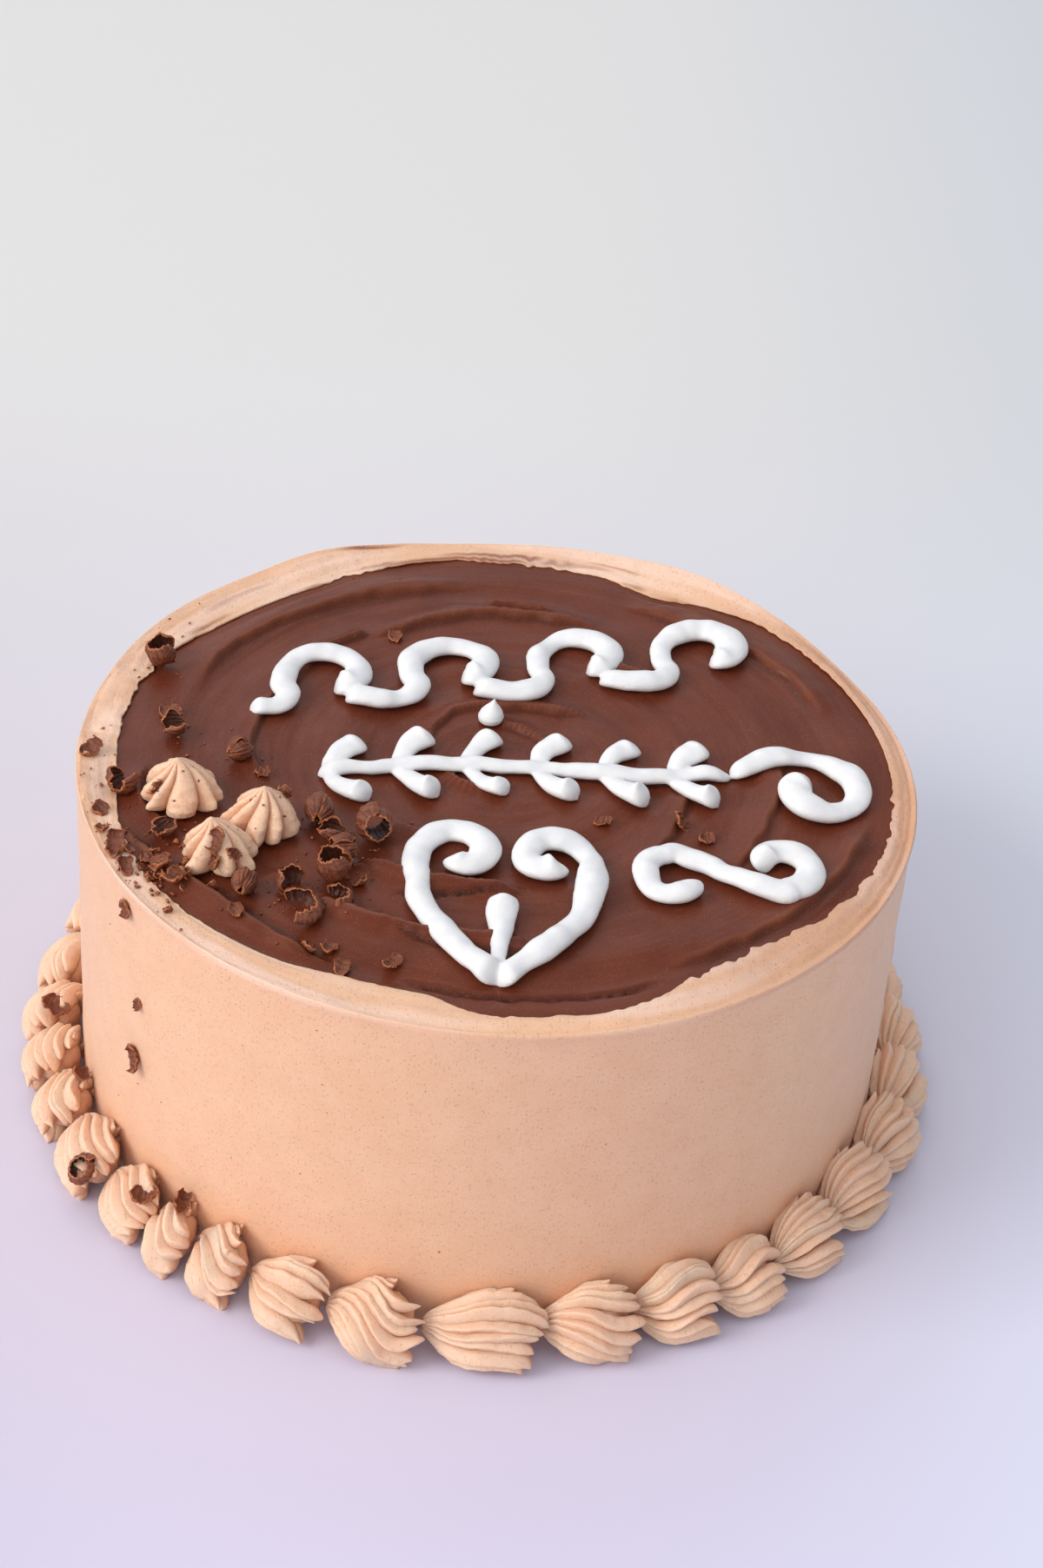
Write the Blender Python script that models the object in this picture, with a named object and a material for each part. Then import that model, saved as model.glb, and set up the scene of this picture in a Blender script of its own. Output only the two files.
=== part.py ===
"""Round layer cake, 20 cm across before icing, coated in light chocolate buttercream.

The top is spread with dark ganache inside an uneven buttercream rim. On it lie three piped stars, rolled
chocolate curls, chocolate flakes and white piped scrollwork. A piped border runs round the foot.
The origin is the centre of the cake's foot, +Z is up, and the side with the stars faces -X and -Y.
Sizes are written in millimetres and degrees, and add_object turns them into metres.
"""

import math
import random

import bmesh
import bpy
from mathutils import Euler, Matrix, Vector

MM = 0.001

# The iced cake.
WALL_RADIUS = 108.0
RIDGE_PROUD = 0.6  # the thin ridge that the scraper left round the top of the side
RIDGE_FLARE = 4.0  # below the ridge's line, where the side is straight again
CHANNEL_DEPTH = 1.0  # the shallow channel just inside the ridge
FOOT_CHAMFER = 1.0
AROUND = 64  # facets round the cake
GAP = 0.35  # clear space between touching pieces

# The rim's inner edge, (degrees from +X, radius): it wanders as the spatula left it.
RIM_INNER = (
    (-180, 98.4), (-168, 98.2), (-158, 100.2), (-145, 101.4), (-130, 100.3), (-118, 98.6), (-110, 96.2),
    (-100, 95.8), (-96, 96.6), (-90, 100.6), (-80, 101.3), (-70, 100.8), (-62, 97.6), (-55, 95.0),
    (-44, 95.6), (-32, 99.2), (-18, 101.8), (0, 102.8), (20, 103.2), (40, 103.4), (50, 102.8), (58, 98.8),
    (65, 95.2), (75, 98.2), (88, 98.8), (100, 100.0), (112, 98.4), (128, 95.6), (145, 96.2), (158, 99.6),
)
# The ridge along the rim's outer edge, (degrees, height).
RIM_RIDGE = (
    (-165, 98.7), (-145, 97.8), (-105, 97.7), (-85, 97.5), (-50, 97.4), (-30, 97.0), (0, 97.5), (15, 97.0),
    (30, 96.0), (45, 98.0), (60, 100.2), (75, 98.7), (98, 97.0), (108, 98.0), (120, 99.7), (133, 98.3),
    (150, 99.0), (175, 97.6),
)

# The ganache.
GANACHE_LEVEL = 96.4
RIM_OVER_GANACHE = 0.8  # the rim's inner lip over the ganache's level
GANACHE_THICKNESS = 3.6
GANACHE_RINGS = (0.12, 0.3, 0.47, 0.63, 0.78, 0.91, 1.0)
SWIRL_DEPTH = 0.35
SWIRL_PITCH = 23.0

# Piped stars on the ganache: (x, y, radius, height, turn, lean x, lean y).
STARS = (
    (-79.2, -25.5, 10.0, 12.0, 8.0, -0.8, 0.6),
    (-57.4, -35.8, 9.3, 13.0, 30.0, 0.3, 0.4),
    (-66.6, -48.8, 9.2, 11.8, 12.0, -2.2, 0.8),
)
STAR_LOBES = 8
STAR_LOBE_DEPTH = 0.2
STAR_TWIST = 0.35  # radians from base to tip
STAR_PROFILE = ((0.84, 0.0), (1.0, 0.15), (0.93, 0.38), (0.68, 0.62), (0.34, 0.83), (0.1, 0.95))

# The border: each dollop starts at its tail and swells towards the next one's tail, (tail angle, tail radius,
# height, reach from the wall). The far side repeats an even pitch.
BORDER = (
    (-182.0, 114.5, 15.0, 15.0), (-172.6, 114.0, 15.5, 15.0), (-163.6, 114.5, 14.5, 14.5),
    (-154.3, 113.0, 15.5, 15.5), (-142.6, 113.5, 15.0, 14.0), (-132.9, 113.0, 14.5, 14.5),
    (-126.2, 111.5, 16.5, 14.5), (-117.2, 112.5, 16.0, 15.0), (-106.4, 113.0, 16.5, 15.5),
    (-94.2, 113.5, 16.0, 14.5), (-79.6, 112.5, 16.5, 14.0), (-67.4, 112.5, 16.5, 14.0),
    (-56.6, 114.0, 15.0, 14.0), (-46.6, 115.0, 16.5, 14.0), (-35.4, 114.5, 17.0, 14.5),
    (-23.2, 114.0, 16.0, 14.5), (-11.6, 113.5, 15.5, 14.5), (-1.0, 113.5, 15.0, 14.5),
)
BACK_START = 9.6
BACK_END = 178.0
BACK_COUNT = 15
BACK_SHAPE = (113.8, 15.6, 14.6)
BORDER_RIDGES = 6
BORDER_RIDGE_DEPTH = 0.16
BORDER_STATIONS = ((0.0, 0.26), (0.14, 0.52), (0.36, 0.82), (0.64, 1.0), (0.9, 1.0), (1.0, 0.78))
BORDER_GAP_DEGREES = 0.3

# White piped scrollwork.
LINE_WIDTH = 7.8
LINE_HEIGHT = 4.6
LINE_STEP = 5.0
LINE_SECTION = ((-0.45, 0.0), (-0.45, 0.5), (0.0, 1.0), (0.45, 0.5), (0.45, 0.0))  # across, up
WAVE_FOOT = ((-0.42, 0.16), (-0.18, 0.03), (0.04, 0.05), (0.15, 0.2))  # shares of a wave's length and height
WAVE_CENTRE = 0.52
WAVE_TURN = -290
WAVE_END = 0.17
LYING_ENDS = (0.24, 0.76)  # where the lying scroll's spirals are, as shares of it
LYING_TURN = 300
LEAF_LEAN = 0.62
STEM_SWING = 3.0
BEAD = (-3.0, 18.6, 3.4, 6.4)  # x, y, radius, height
BEAD_PROFILE = ((0.8, 0.0), (1.0, 0.25), (0.75, 0.55), (0.3, 0.8))  # shares of the radius and height
BEAD_SIDES = 10

# Rolled chocolate curls: (x, y, radius, width, sweep, pitch, roll, yaw), and one that lies on the border.
CURLS = {
    "curl_rim": (-91.5, 34.5, 4.2, 7.0, 300, 62, 0, 20),
    "curl_left_back": (-84.0, 2.5, 3.4, 6.5, 230, 0, 15, 30),
    "curl_star_left": (-93.8, -23.6, 4.0, 7.5, 250, 10, 0, 70),
    "curl_behind_stars": (-66.2, -7.0, 3.3, 7.0, 290, 0, 0, 35),
    "curl_upright": (-43.4, -30.2, 3.9, 9.5, 320, 0, 0, 84),
    "curl_clump": (-39.4, -38.4, 3.3, 6.5, 250, 20, 0, 10),
    "curl_open": (-29.2, -35.6, 5.0, 8.0, 290, 15, 0, 110),
    "curl_barrel": (-36.4, -45.6, 3.3, 6.5, 330, 0, 0, 10),
    "curl_cup": (-37.8, -54.0, 4.3, 7.5, 330, 70, 0, 10),
    "curl_hook": (-36.6, -62.6, 4.2, 3.6, 220, 80, 0, 200),
    "curl_standing": (-47.4, -60.0, 4.2, 5.5, 170, 80, 0, 320),
    "curl_large": (-45.6, -68.8, 6.4, 4.2, 220, 80, 0, 200),
    "curl_seed": (-58.8, -61.2, 3.2, 9.0, 300, 0, 0, 80),
    "curl_slab": (-81.0, -40.0, 3.3, 7.5, 160, 0, 0, 65),
}
BORDER_CURL = (-98.4, -72.8, 4.4, 3.0, 300, 50, 0, 36)
CURL_THICKNESS = 1.0
CURL_STEPS = 7
CURL_WAIST = ((-0.5, 0.66), (0.0, 1.0), (0.5, 0.66))  # shares of its width and radius

# Flakes fused to what they lie on: (x, y, size, turn).
GANACHE_FLAKES = (
    (-86.5, 11.5, 5.5, 20), (-30.5, 56.0, 4.0, 60), (-59.6, -12.4, 4.0, 10), (-21.6, -84.5, 5.0, -20),
    (-42.0, -81.6, 4.6, 50), (-36.8, -80.4, 4.6, 0), (-59.6, -71.6, 4.0, 70), (-31.0, -54.6, 3.6, 80),
    (28.0, -22.5, 4.0, 40), (46.5, -21.5, 4.6, 0), (53.8, -26.2, 4.4, 30), (-33.2, -86.8, 4.6, 15),
    (-75.4, -60.0, 5.8, 30), (-80.0, -54.6, 5.8, 60),
)
# Flakes on the rim, (angle, radius, size, turn), and on the side, (angle, height, size, turn).
RIM_FLAKES = (
    (-175.0, 104.0, 5.4, 15), (-161.4, 103.8, 4.6, 70), (-152.4, 104.0, 7.0, 40), (-147.8, 104.8, 5.0, 120),
    (-156.4, 105.0, 3.4, 10),
)
SIDE_FLAKES = ((-143.6, 91.0, 5.0, 20), (-141.6, 46.0, 6.2, 35), (-140.9, 64.5, 2.8, 0))
# Flakes on the stars: (star, x, y, size, turn).
STAR_FLAKES = (
    (1, -84.0, -30.2, 4.2, 10), (2, -52.8, -30.4, 4.2, 40), (3, -66.6, -52.2, 4.4, 0),
    (3, -66.2, -55.6, 4.2, 80), (3, -62.8, -54.6, 3.8, 40),
)
# Flakes on the border: (angle, radius, size, turn).
BORDER_FLAKES = (
    (-173.4, 115.6, 6.5, 0), (-158.2, 112.0, 5.0, 30), (-134.2, 116.0, 5.5, 10), (-129.6, 112.6, 5.5, 60),
)
FLAKE_OUTLINE = ((-0.5, -0.2), (-0.1, -0.36), (0.5, -0.15), (0.42, 0.3), (-0.3, 0.36))  # shares of its size
FLAKE_SINK = 0.9
FLAKE_RISE = 1.1
RAY_HEIGHT = 150.0  # rays that find a piped piece's surface start above all of them


def material(name, colour, roughness, subsurface=0.0):
    """A plain Principled material."""
    made = bpy.data.materials.new(name)
    made.use_nodes = True
    shader = made.node_tree.nodes["Principled BSDF"]
    shader.inputs["Base Color"].default_value = (*colour, 1.0)
    shader.inputs["Roughness"].default_value = roughness
    shader.inputs["Metallic"].default_value = 0.0
    shader.inputs["Subsurface Weight"].default_value = subsurface
    return made


def add_object(name, points, faces, finish, parent=None, place=(0, 0, 0), turn=(0, 0, 0)):
    """One closed solid from points in millimetres, placed by its location and rotation."""
    mesh = bpy.data.meshes.new(name)
    mesh.from_pydata([Vector(p) * MM for p in points], [], faces)
    shape = bmesh.new()
    shape.from_mesh(mesh)
    bmesh.ops.triangulate(shape, faces=shape.faces)
    bmesh.ops.recalc_face_normals(shape, faces=shape.faces)
    shape.to_mesh(mesh)
    shape.free()
    mesh.materials.append(finish)
    mesh.shade_smooth()
    mesh.set_sharp_from_angle(angle=math.radians(50))
    made = bpy.data.objects.new(name, mesh)
    bpy.context.scene.collection.objects.link(made)
    made.parent = parent
    made.location = Vector(place) * MM
    made.rotation_euler = Euler([math.radians(a) for a in turn])
    return made


def fuse(target, pieces):
    """Joins pieces to target by one Boolean union, applied, and removes them."""
    group = bpy.data.collections.new(target.name + "_pieces")
    for piece in pieces:
        bpy.context.scene.collection.objects.unlink(piece)
        group.objects.link(piece)
    bpy.context.scene.collection.children.link(group)
    union = target.modifiers.new("union", "BOOLEAN")
    union.operation = "UNION"
    union.operand_type = "COLLECTION"
    union.collection = group
    union.solver = "EXACT"
    bpy.context.view_layer.update()
    graph = bpy.context.evaluated_depsgraph_get()
    joined = bpy.data.meshes.new_from_object(target.evaluated_get(graph))
    target.modifiers.clear()
    target.data = joined
    for piece in pieces:
        bpy.data.objects.remove(piece)
    bpy.data.collections.remove(group)


def ring_faces(ring_count, ring_size, centre=None):
    """Quads between rings of points, with both end rings closed by a face, or the last fanned to a centre."""
    faces = []
    for row in range(ring_count - 1):
        for i in range(ring_size):
            j = (i + 1) % ring_size
            a, b = row * ring_size, (row + 1) * ring_size
            faces.append((a + i, a + j, b + j, b + i))
    last = (ring_count - 1) * ring_size
    faces.append(tuple(range(ring_size)))
    if centre is None:
        faces.append(tuple(range(last, last + ring_size)))
    else:
        faces += [(last + i, last + (i + 1) % ring_size, centre) for i in range(ring_size)]
    return faces


def curve_between(p0, p1, p2, p3, t):
    """A Catmull-Rom curve from p1 to p2, for numbers or vectors."""
    bend = (2 * p0 - 5 * p1 + 4 * p2 - p3) * t**2 + (3 * p1 - p0 - 3 * p2 + p3) * t**3
    return 0.5 * (2 * p1 + (p2 - p0) * t + bend)


def around(table, degrees):
    """A smooth closed curve through (degrees, value) pairs, at any angle."""
    count = len(table)
    first = table[0][0]
    angle = (degrees - first) % 360 + first
    k = max(i for i in range(count) if table[i][0] <= angle)
    known = [table[(k + i) % count] for i in (-1, 0, 1, 2)]
    after = known[2][0] + (360 if k == count - 1 else 0)
    t = (angle - known[1][0]) / (after - known[1][0])
    return curve_between(*(value for _, value in known), t)


def on_circle(radius, height, degrees):
    turn = math.radians(degrees)
    return (radius * math.cos(turn), radius * math.sin(turn), height)


def rim_inner(degrees):
    return around(RIM_INNER, degrees)


def rim_ridge(degrees):
    return around(RIM_RIDGE, degrees)


def ganache_height(x, y):
    """Height of the ganache's surface: broad spatula swirls on a level that dips towards the front edge."""
    radius = math.hypot(x, y)
    turn = math.atan2(y, x)
    swirl = math.sin(2 * math.pi * radius / SWIRL_PITCH + turn)
    dip = 0.5 * max(0.0, (radius - 70) / 30) ** 2 * max(0.0, -math.sin(turn))
    return GANACHE_LEVEL + SWIRL_DEPTH * swirl * min(1.0, radius / 30) - dip


def rim_profile(degrees):
    """The rim in section, from the outer ridge over the channel to the ganache, as (radius, height)."""
    inner, ridge = rim_inner(degrees), rim_ridge(degrees)
    width, lip = WALL_RADIUS - inner, GANACHE_LEVEL + RIM_OVER_GANACHE
    return (
        (WALL_RADIUS + RIDGE_PROUD, ridge - 0.9),
        (WALL_RADIUS - 0.1, ridge),
        (WALL_RADIUS - 0.16 * width, ridge - CHANNEL_DEPTH),
        (WALL_RADIUS - 0.4 * width, 0.5 * (ridge + lip) - 0.5 * CHANNEL_DEPTH),
        (WALL_RADIUS - 0.75 * width, lip),
        (inner, lip - 0.5),
    )


def bed_height(x, y):
    """Height of the cake's top under a point: the rim or the ganache, and nothing outside them."""
    radius, degrees = math.hypot(x, y), math.degrees(math.atan2(y, x))
    profile = rim_profile(degrees)
    if radius < profile[-1][0]:
        return ganache_height(x, y)
    for (r1, z1), (r2, z2) in zip(profile, profile[1:]):
        if r2 <= radius <= r1:
            return z2 + (z1 - z2) * (radius - r2) / (r1 - r2)
    return -math.inf


def build_cake(finish, parent):
    """Side, outer ridge, rim and the shallow seat that the ganache lies in."""
    foot = ((WALL_RADIUS - FOOT_CHAMFER, 0), (WALL_RADIUS, FOOT_CHAMFER))
    seat = GANACHE_LEVEL - GANACHE_THICKNESS
    turns = [360 * i / AROUND for i in range(AROUND)]
    sections = []
    for turn in turns:
        flare = (WALL_RADIUS, rim_ridge(turn) - RIDGE_FLARE)
        sections.append((*foot, flare, *rim_profile(turn), (rim_inner(turn), seat)))
    points = []
    for ring in zip(*sections):
        points += [on_circle(radius, height, turn) for (radius, height), turn in zip(ring, turns)]
    return add_object("cake", points, ring_faces(len(sections[0]), AROUND), finish, parent)


def build_ganache(finish, parent):
    """The dark layer inside the rim, with broad swirls in its surface."""
    turns = [360 * i / AROUND for i in range(AROUND)]
    bottom = GANACHE_LEVEL - GANACHE_THICKNESS + GAP
    points = [on_circle(rim_inner(turn) - GAP, bottom, turn) for turn in turns]
    for share in reversed(GANACHE_RINGS):
        for turn in turns:
            x, y, _ = on_circle(share * (rim_inner(turn) - GAP), 0, turn)
            points.append((x, y, ganache_height(x, y)))
    points.append((0, 0, ganache_height(0, 0)))
    faces = ring_faces(len(GANACHE_RINGS) + 1, AROUND, len(points) - 1)
    return add_object("ganache", points, faces, finish, parent)


def star_lobe(turn, lobes):
    """1 on the crest of a ridge and 0 in the groove between two ridges."""
    return abs(math.cos(lobes * turn / 2)) ** 0.7


def press_flat(point, star):
    """Keeps a star's point on its own side of the flat where two stars press against each other."""
    for other in STARS:
        if other is star:
            continue
        apart = Vector((other[0] - star[0], other[1] - star[1], 0))
        limit = apart.length * star[2] / (star[2] + other[2]) - 0.6 * GAP
        beyond = point.dot(apart.normalized()) - limit
        if beyond > 0:
            point = point - apart.normalized() * beyond
    return point


def build_star(name, place, finish, parent):
    """A star drop: fat ridges that sweep up to a pulled point."""
    x, y, radius, height, turn, lean_x, lean_y = place
    around_count = STAR_LOBES * 4
    points = []
    for share, rise in STAR_PROFILE:
        for i in range(around_count):
            angle = 2 * math.pi * i / around_count
            depth = STAR_LOBE_DEPTH * min(1.0, share * 2)
            r = radius * share * (1 - depth * (1 - star_lobe(angle, STAR_LOBES)))
            spin = angle + STAR_TWIST * rise + math.radians(turn)
            lean = Vector((lean_x, lean_y, 0)) * rise**2
            point = Vector((r * math.cos(spin), r * math.sin(spin), height * rise)) + lean
            points.append(press_flat(point, place))
    points.append((lean_x, lean_y, height))
    faces = ring_faces(len(STAR_PROFILE), around_count, len(points) - 1)
    base = max(ganache_height(x + radius * math.cos(a), y + radius * math.sin(a)) for a in range(7))
    return add_object(name, points, faces, finish, parent, (x, y, base + GAP))


def border_places():
    """Every dollop's (tail, next tail, tail radius, height, reach), going round by increasing angle."""
    source = random.Random(4)
    step = (BACK_END - BACK_START) / BACK_COUNT
    back = []
    for i in range(BACK_COUNT):
        tail_radius, height, reach = (value + source.uniform(-0.7, 0.7) for value in BACK_SHAPE)
        back.append((BACK_START + i * step + source.uniform(-0.6, 0.6), tail_radius, height, reach))
    places = list(BORDER) + back
    tails = [place[0] for place in places[1:]] + [places[0][0] + 360]
    return [(place[0], after, *place[1:]) for place, after in zip(places, tails)]


def build_dollop(name, place, finish, parent):
    """One dollop of the border: ridges fan out from its tail over a round body that leans on the wall."""
    tail, after, tail_radius, height, reach = place
    span = math.radians(after - tail - BORDER_GAP_DEGREES)
    inner = WALL_RADIUS + GAP
    samples = 2 * BORDER_RIDGES + 1
    points = []
    for share, swell in BORDER_STATIONS:
        middle = (1 - swell) * tail_radius + swell * (inner + 0.4 * reach)
        half = (inner + reach - middle) * swell
        top = height * swell
        for i in range(samples):
            angle = math.pi * i / (samples - 1)
            ridge = 1 - BORDER_RIDGE_DEPTH * (i % 2) * (0 < i < samples - 1)
            radius = max(inner, middle + half * math.cos(angle) * ridge)
            turn = span * share
            points.append((radius * math.cos(turn), radius * math.sin(turn), top * math.sin(angle) * ridge))
    faces = ring_faces(len(BORDER_STATIONS), samples)
    return add_object(name, points, faces, finish, parent, (0, 0, 0), (0, 0, tail + BORDER_GAP_DEGREES / 2))


def smooth_line(corners, step):
    """Points every step along a Catmull-Rom curve through the corners."""
    ends = [2 * Vector(corners[0]) - Vector(corners[1])]
    ends.append(2 * Vector(corners[-1]) - Vector(corners[-2]))
    knots = [ends[0], *[Vector(c) for c in corners], ends[1]]
    fine = []
    for known in zip(knots, knots[1:], knots[2:], knots[3:]):
        fine += [curve_between(*known, i / 12) for i in range(12)]
    fine.append(knots[-2])
    total = sum((b - a).length for a, b in zip(fine, fine[1:]))
    count = max(2, round(total / step))
    line, walked, k = [fine[0]], 0.0, 0
    for target in (total * i / count for i in range(1, count)):
        while walked + (fine[k + 1] - fine[k]).length < target:
            walked += (fine[k + 1] - fine[k]).length
            k += 1
        share = (target - walked) / (fine[k + 1] - fine[k]).length
        line.append(fine[k].lerp(fine[k + 1], share))
    return [*line, fine[-1]]


def spiral(centre, start_radius, end_radius, start_angle, sweep, count=9):
    """Corners of a spiral round centre, from the outside in."""
    corners = []
    for i in range(count):
        t = i / (count - 1)
        radius = start_radius + (end_radius - start_radius) * t**0.8
        angle = math.radians(start_angle + sweep * t)
        corners.append((centre[0] + radius * math.cos(angle), centre[1] + radius * math.sin(angle)))
    return corners


def row_steps(start, end, count):
    """Start of a row in plan, its step and the direction to its side."""
    start, end = Vector(start), Vector(end)
    along = (end - start) / count
    return start, along, Vector((-along.y, along.x)).normalized()


def waves(start, end, count, height):
    """Running waves as (kind, corners): each rises from the row's line, and its crest curls over and in."""
    start, along, side = row_steps(start, end, count)
    heading = math.degrees(math.atan2(along.y, along.x))
    lines = []
    for k in range(count):
        foot = start + along * k
        rise = [tuple(foot + along * u + side * height * v) for u, v in WAVE_FOOT[0 if k else 1:]]
        centre = foot + along * WAVE_CENTRE + side * 0.5 * height
        crest = spiral(centre, 0.5 * height, WAVE_END * height, heading + 195, WAVE_TURN, 11)
        lines.append(("curl", rise + crest))
    return lines


def lying_scroll(start, end, height):
    """One line as (kind, corners) with a spiral at either end, the first curled over and the last under."""
    start, along, side = row_steps(start, end, 1)
    heading = math.degrees(math.atan2(along.y, along.x))
    over, under = (start + along * u + side * 0.5 * height for u in LYING_ENDS)
    first = spiral(over, 0.5 * height, WAVE_END * height, heading + 60, LYING_TURN, 11)
    last = spiral(under, 0.5 * height, WAVE_END * height, heading + 240, LYING_TURN, 11)
    return [("curl", first[::-1] + last)]


def leafy_stem(start, end, pairs, reach):
    """A gently waving stem as (kind, corners), with pairs of fat drops that lean forwards off it."""
    start, along, side = row_steps(start, end, pairs)

    def on_stem(u):
        return start + along * u + side * STEM_SWING * math.sin(0.9 * u)

    lines = [("stem", [tuple(on_stem(u)) for u in range(pairs + 1)])]
    for k in range(pairs):
        for way in (side * reach, side * -reach):
            root = on_stem(k + 0.1)
            corners = (root + along * LEAF_LEAN + way, root + along * 0.45 * LEAF_LEAN + way * 0.62, root)
            lines.append(("leaf", [tuple(corner) for corner in corners]))
    return lines


def heart(foot, half_width, height):
    """Two mirrored scrolls that rise from one foot and curl inwards, with a bud between them."""
    lines = []
    for way in (-1, 1):
        centre = (0.5 * half_width, 0.76 * height)
        side = [(0.0, 0.0), (0.45 * half_width, 0.17 * height), (0.88 * half_width, 0.42 * height)]
        side += spiral(centre, 0.5 * half_width, 2.6, -12, 350, 11)
        lines.append(("curl", [(foot[0] + way * x, foot[1] + y) for x, y in side]))
    bud = [(foot[0], foot[1] + share * height) for share in (0.5, 0.36, 0.2, 0.06)]
    lines.append(("leaf", bud))
    return lines


def scrollwork():
    """Every row of the scrollwork, as its lines in plan."""
    hook = [(60, 1.6), (72, 9), (82, 9.5), *spiral((82, -6), 13, 3, 55, -320, 9)]
    return {
        "scroll_upper": waves((-60, 15), (74, 48), 4, 28),
        "scroll_middle": [*leafy_stem((-46, -11), (60, 3), 6, 12), ("curl", hook)],
        "scroll_right": lying_scroll((37, -60), (87, -44), 21),
        "scroll_heart": heart((3.5, -89), 22, 62),
    }


def line_swell(kind, t):
    """Thickness of a piped line at t from its start: curls end in a fat drop, and leaves start with one."""
    if kind == "curl":
        return 0.92 + 0.2 * t**3
    if kind == "leaf":
        return 1.1 - 0.65 * t
    return 0.7


def line_solid(name, kind, corners, finish):
    """One piped line: a round-backed bead that lies on the ganache."""
    line = smooth_line([(*c, 0) for c in corners], LINE_STEP)
    points = []
    for i, here in enumerate(line):
        along = (line[min(i + 1, len(line) - 1)] - line[max(i - 1, 0)]).normalized()
        across = Vector((-along.y, along.x, 0))
        swell = line_swell(kind, i / (len(line) - 1))
        if i in (0, len(line) - 1):
            swell *= 0.75
        base = Vector((here.x, here.y, ganache_height(here.x, here.y) + 2 * GAP))
        for side, up in LINE_SECTION:
            rise = Vector((0, 0, up * LINE_HEIGHT * swell))
            points.append(base + across * side * LINE_WIDTH * swell + rise)
    return add_object(name, points, ring_faces(len(line), len(LINE_SECTION)), finish)


def build_scrollwork(finish, parent):
    """Each row of scrollwork as one solid, and the single bead."""
    for name, lines in scrollwork().items():
        solids = [line_solid(f"{name}_line", kind, corners, finish) for kind, corners in lines]
        row = solids[0]
        row.name = row.data.name = name
        fuse(row, solids[1:])
        row.parent = parent
    x, y, radius, height = BEAD
    points = []
    for share, rise in BEAD_PROFILE:
        for i in range(BEAD_SIDES):
            turn = 2 * math.pi * i / BEAD_SIDES
            points.append((radius * share * math.cos(turn), radius * share * math.sin(turn), height * rise))
    points.append((0, 0, height))
    faces = ring_faces(len(BEAD_PROFILE), BEAD_SIDES, len(points) - 1)
    add_object("bead", points, faces, finish, parent, (x, y, ganache_height(x, y) + 2 * GAP))


def resting_height(points, x, y, turn, bed):
    """Height at which a turned shape just touches the bed when it is lowered onto it at x, y."""
    turned = Euler([math.radians(a) for a in turn]).to_matrix()
    placed = [turned @ Vector(p) for p in points]
    return max(bed(x + p.x, y + p.y) - p.z for p in placed)


def build_curl(name, place, finish, parent, bed=bed_height):
    """A shaving rolled into an open barrel, narrower at both ends."""
    x, y, radius, width, sweep, pitch, roll, yaw = place
    points = []
    for i in range(CURL_STEPS + 1):
        angle = math.radians(sweep * (i / CURL_STEPS - 0.5) - 90)
        for share, waist in CURL_WAIST:
            for r in (radius * waist, radius * waist - CURL_THICKNESS):
                points.append((share * width, r * math.cos(angle), r * math.sin(angle)))
    loop = (0, 2, 4, 5, 3, 1)
    faces = []
    for i in range(CURL_STEPS):
        for a, b in zip(loop, loop[1:] + loop[:1]):
            faces.append((6 * i + a, 6 * i + b, 6 * (i + 1) + b, 6 * (i + 1) + a))
    for start in (0, 6 * CURL_STEPS):
        faces += [(start, start + 2, start + 3, start + 1), (start + 2, start + 4, start + 5, start + 3)]
    turn = (roll, pitch, yaw)
    height = resting_height(points, x, y, turn, bed) + 2 * GAP
    return add_object(name, points, faces, finish, parent, (x, y, height), turn)


def flake_solid(name, size, turn, place, upright, finish):
    """A small bent flake, five-sided and thick enough to sink into what it lies on."""
    points = [(size * a, size * b, -FLAKE_SINK) for a, b in FLAKE_OUTLINE]
    points += [(0.8 * size * a, 0.8 * size * b, FLAKE_RISE + 0.3 * size * a * a) for a, b in FLAKE_OUTLINE]
    faces = [(4, 3, 2, 1, 0), (5, 6, 7, 8, 9)]
    faces += [(i, (i + 1) % 5, 5 + (i + 1) % 5, 5 + i) for i in range(5)]
    made = add_object(name, points, faces, finish)
    spin = Matrix.Rotation(math.radians(turn), 4, "Z")
    made.matrix_world = Matrix.Translation(Vector(place) * MM) @ upright @ spin
    return made


def add_flakes(cake, ganache, finish):
    """Flakes that show from a step away, fused to the ganache, the rim and the side."""
    level = Matrix.Identity(4)
    lying = []
    for x, y, size, turn in GANACHE_FLAKES:
        lying.append(flake_solid("flake", size, turn, (x, y, ganache_height(x, y)), level, finish))
    fuse(ganache, lying)
    stuck = []
    for degrees, radius, size, turn in RIM_FLAKES:
        x, y, _ = on_circle(radius, 0, degrees)
        stuck.append(flake_solid("rim_flake", size, turn, (x, y, bed_height(x, y)), level, finish))
    for degrees, height, size, turn in SIDE_FLAKES:
        facing = Matrix.Rotation(math.radians(degrees), 4, "Z") @ Matrix.Rotation(math.radians(90), 4, "Y")
        place = on_circle(WALL_RADIUS, height, degrees)
        stuck.append(flake_solid("side_flake", size, turn, place, facing, finish))
    fuse(cake, stuck)


def surface_below(pieces, x, y):
    """Which of the pieces lies under a point, with the height and the upward normal of its surface there."""
    found = (None, 0.0, Vector((0, 0, 1)))
    for piece in pieces:
        into = piece.matrix_world.inverted()
        start = into @ Vector((x * MM, y * MM, RAY_HEIGHT * MM))
        hit, spot, normal, _ = piece.ray_cast(start, into.to_3x3() @ Vector((0, 0, -1)))
        height = (piece.matrix_world @ spot).z / MM
        if hit and height > found[1]:
            found = (piece, height, piece.matrix_world.to_3x3() @ normal)
    return found


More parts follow.
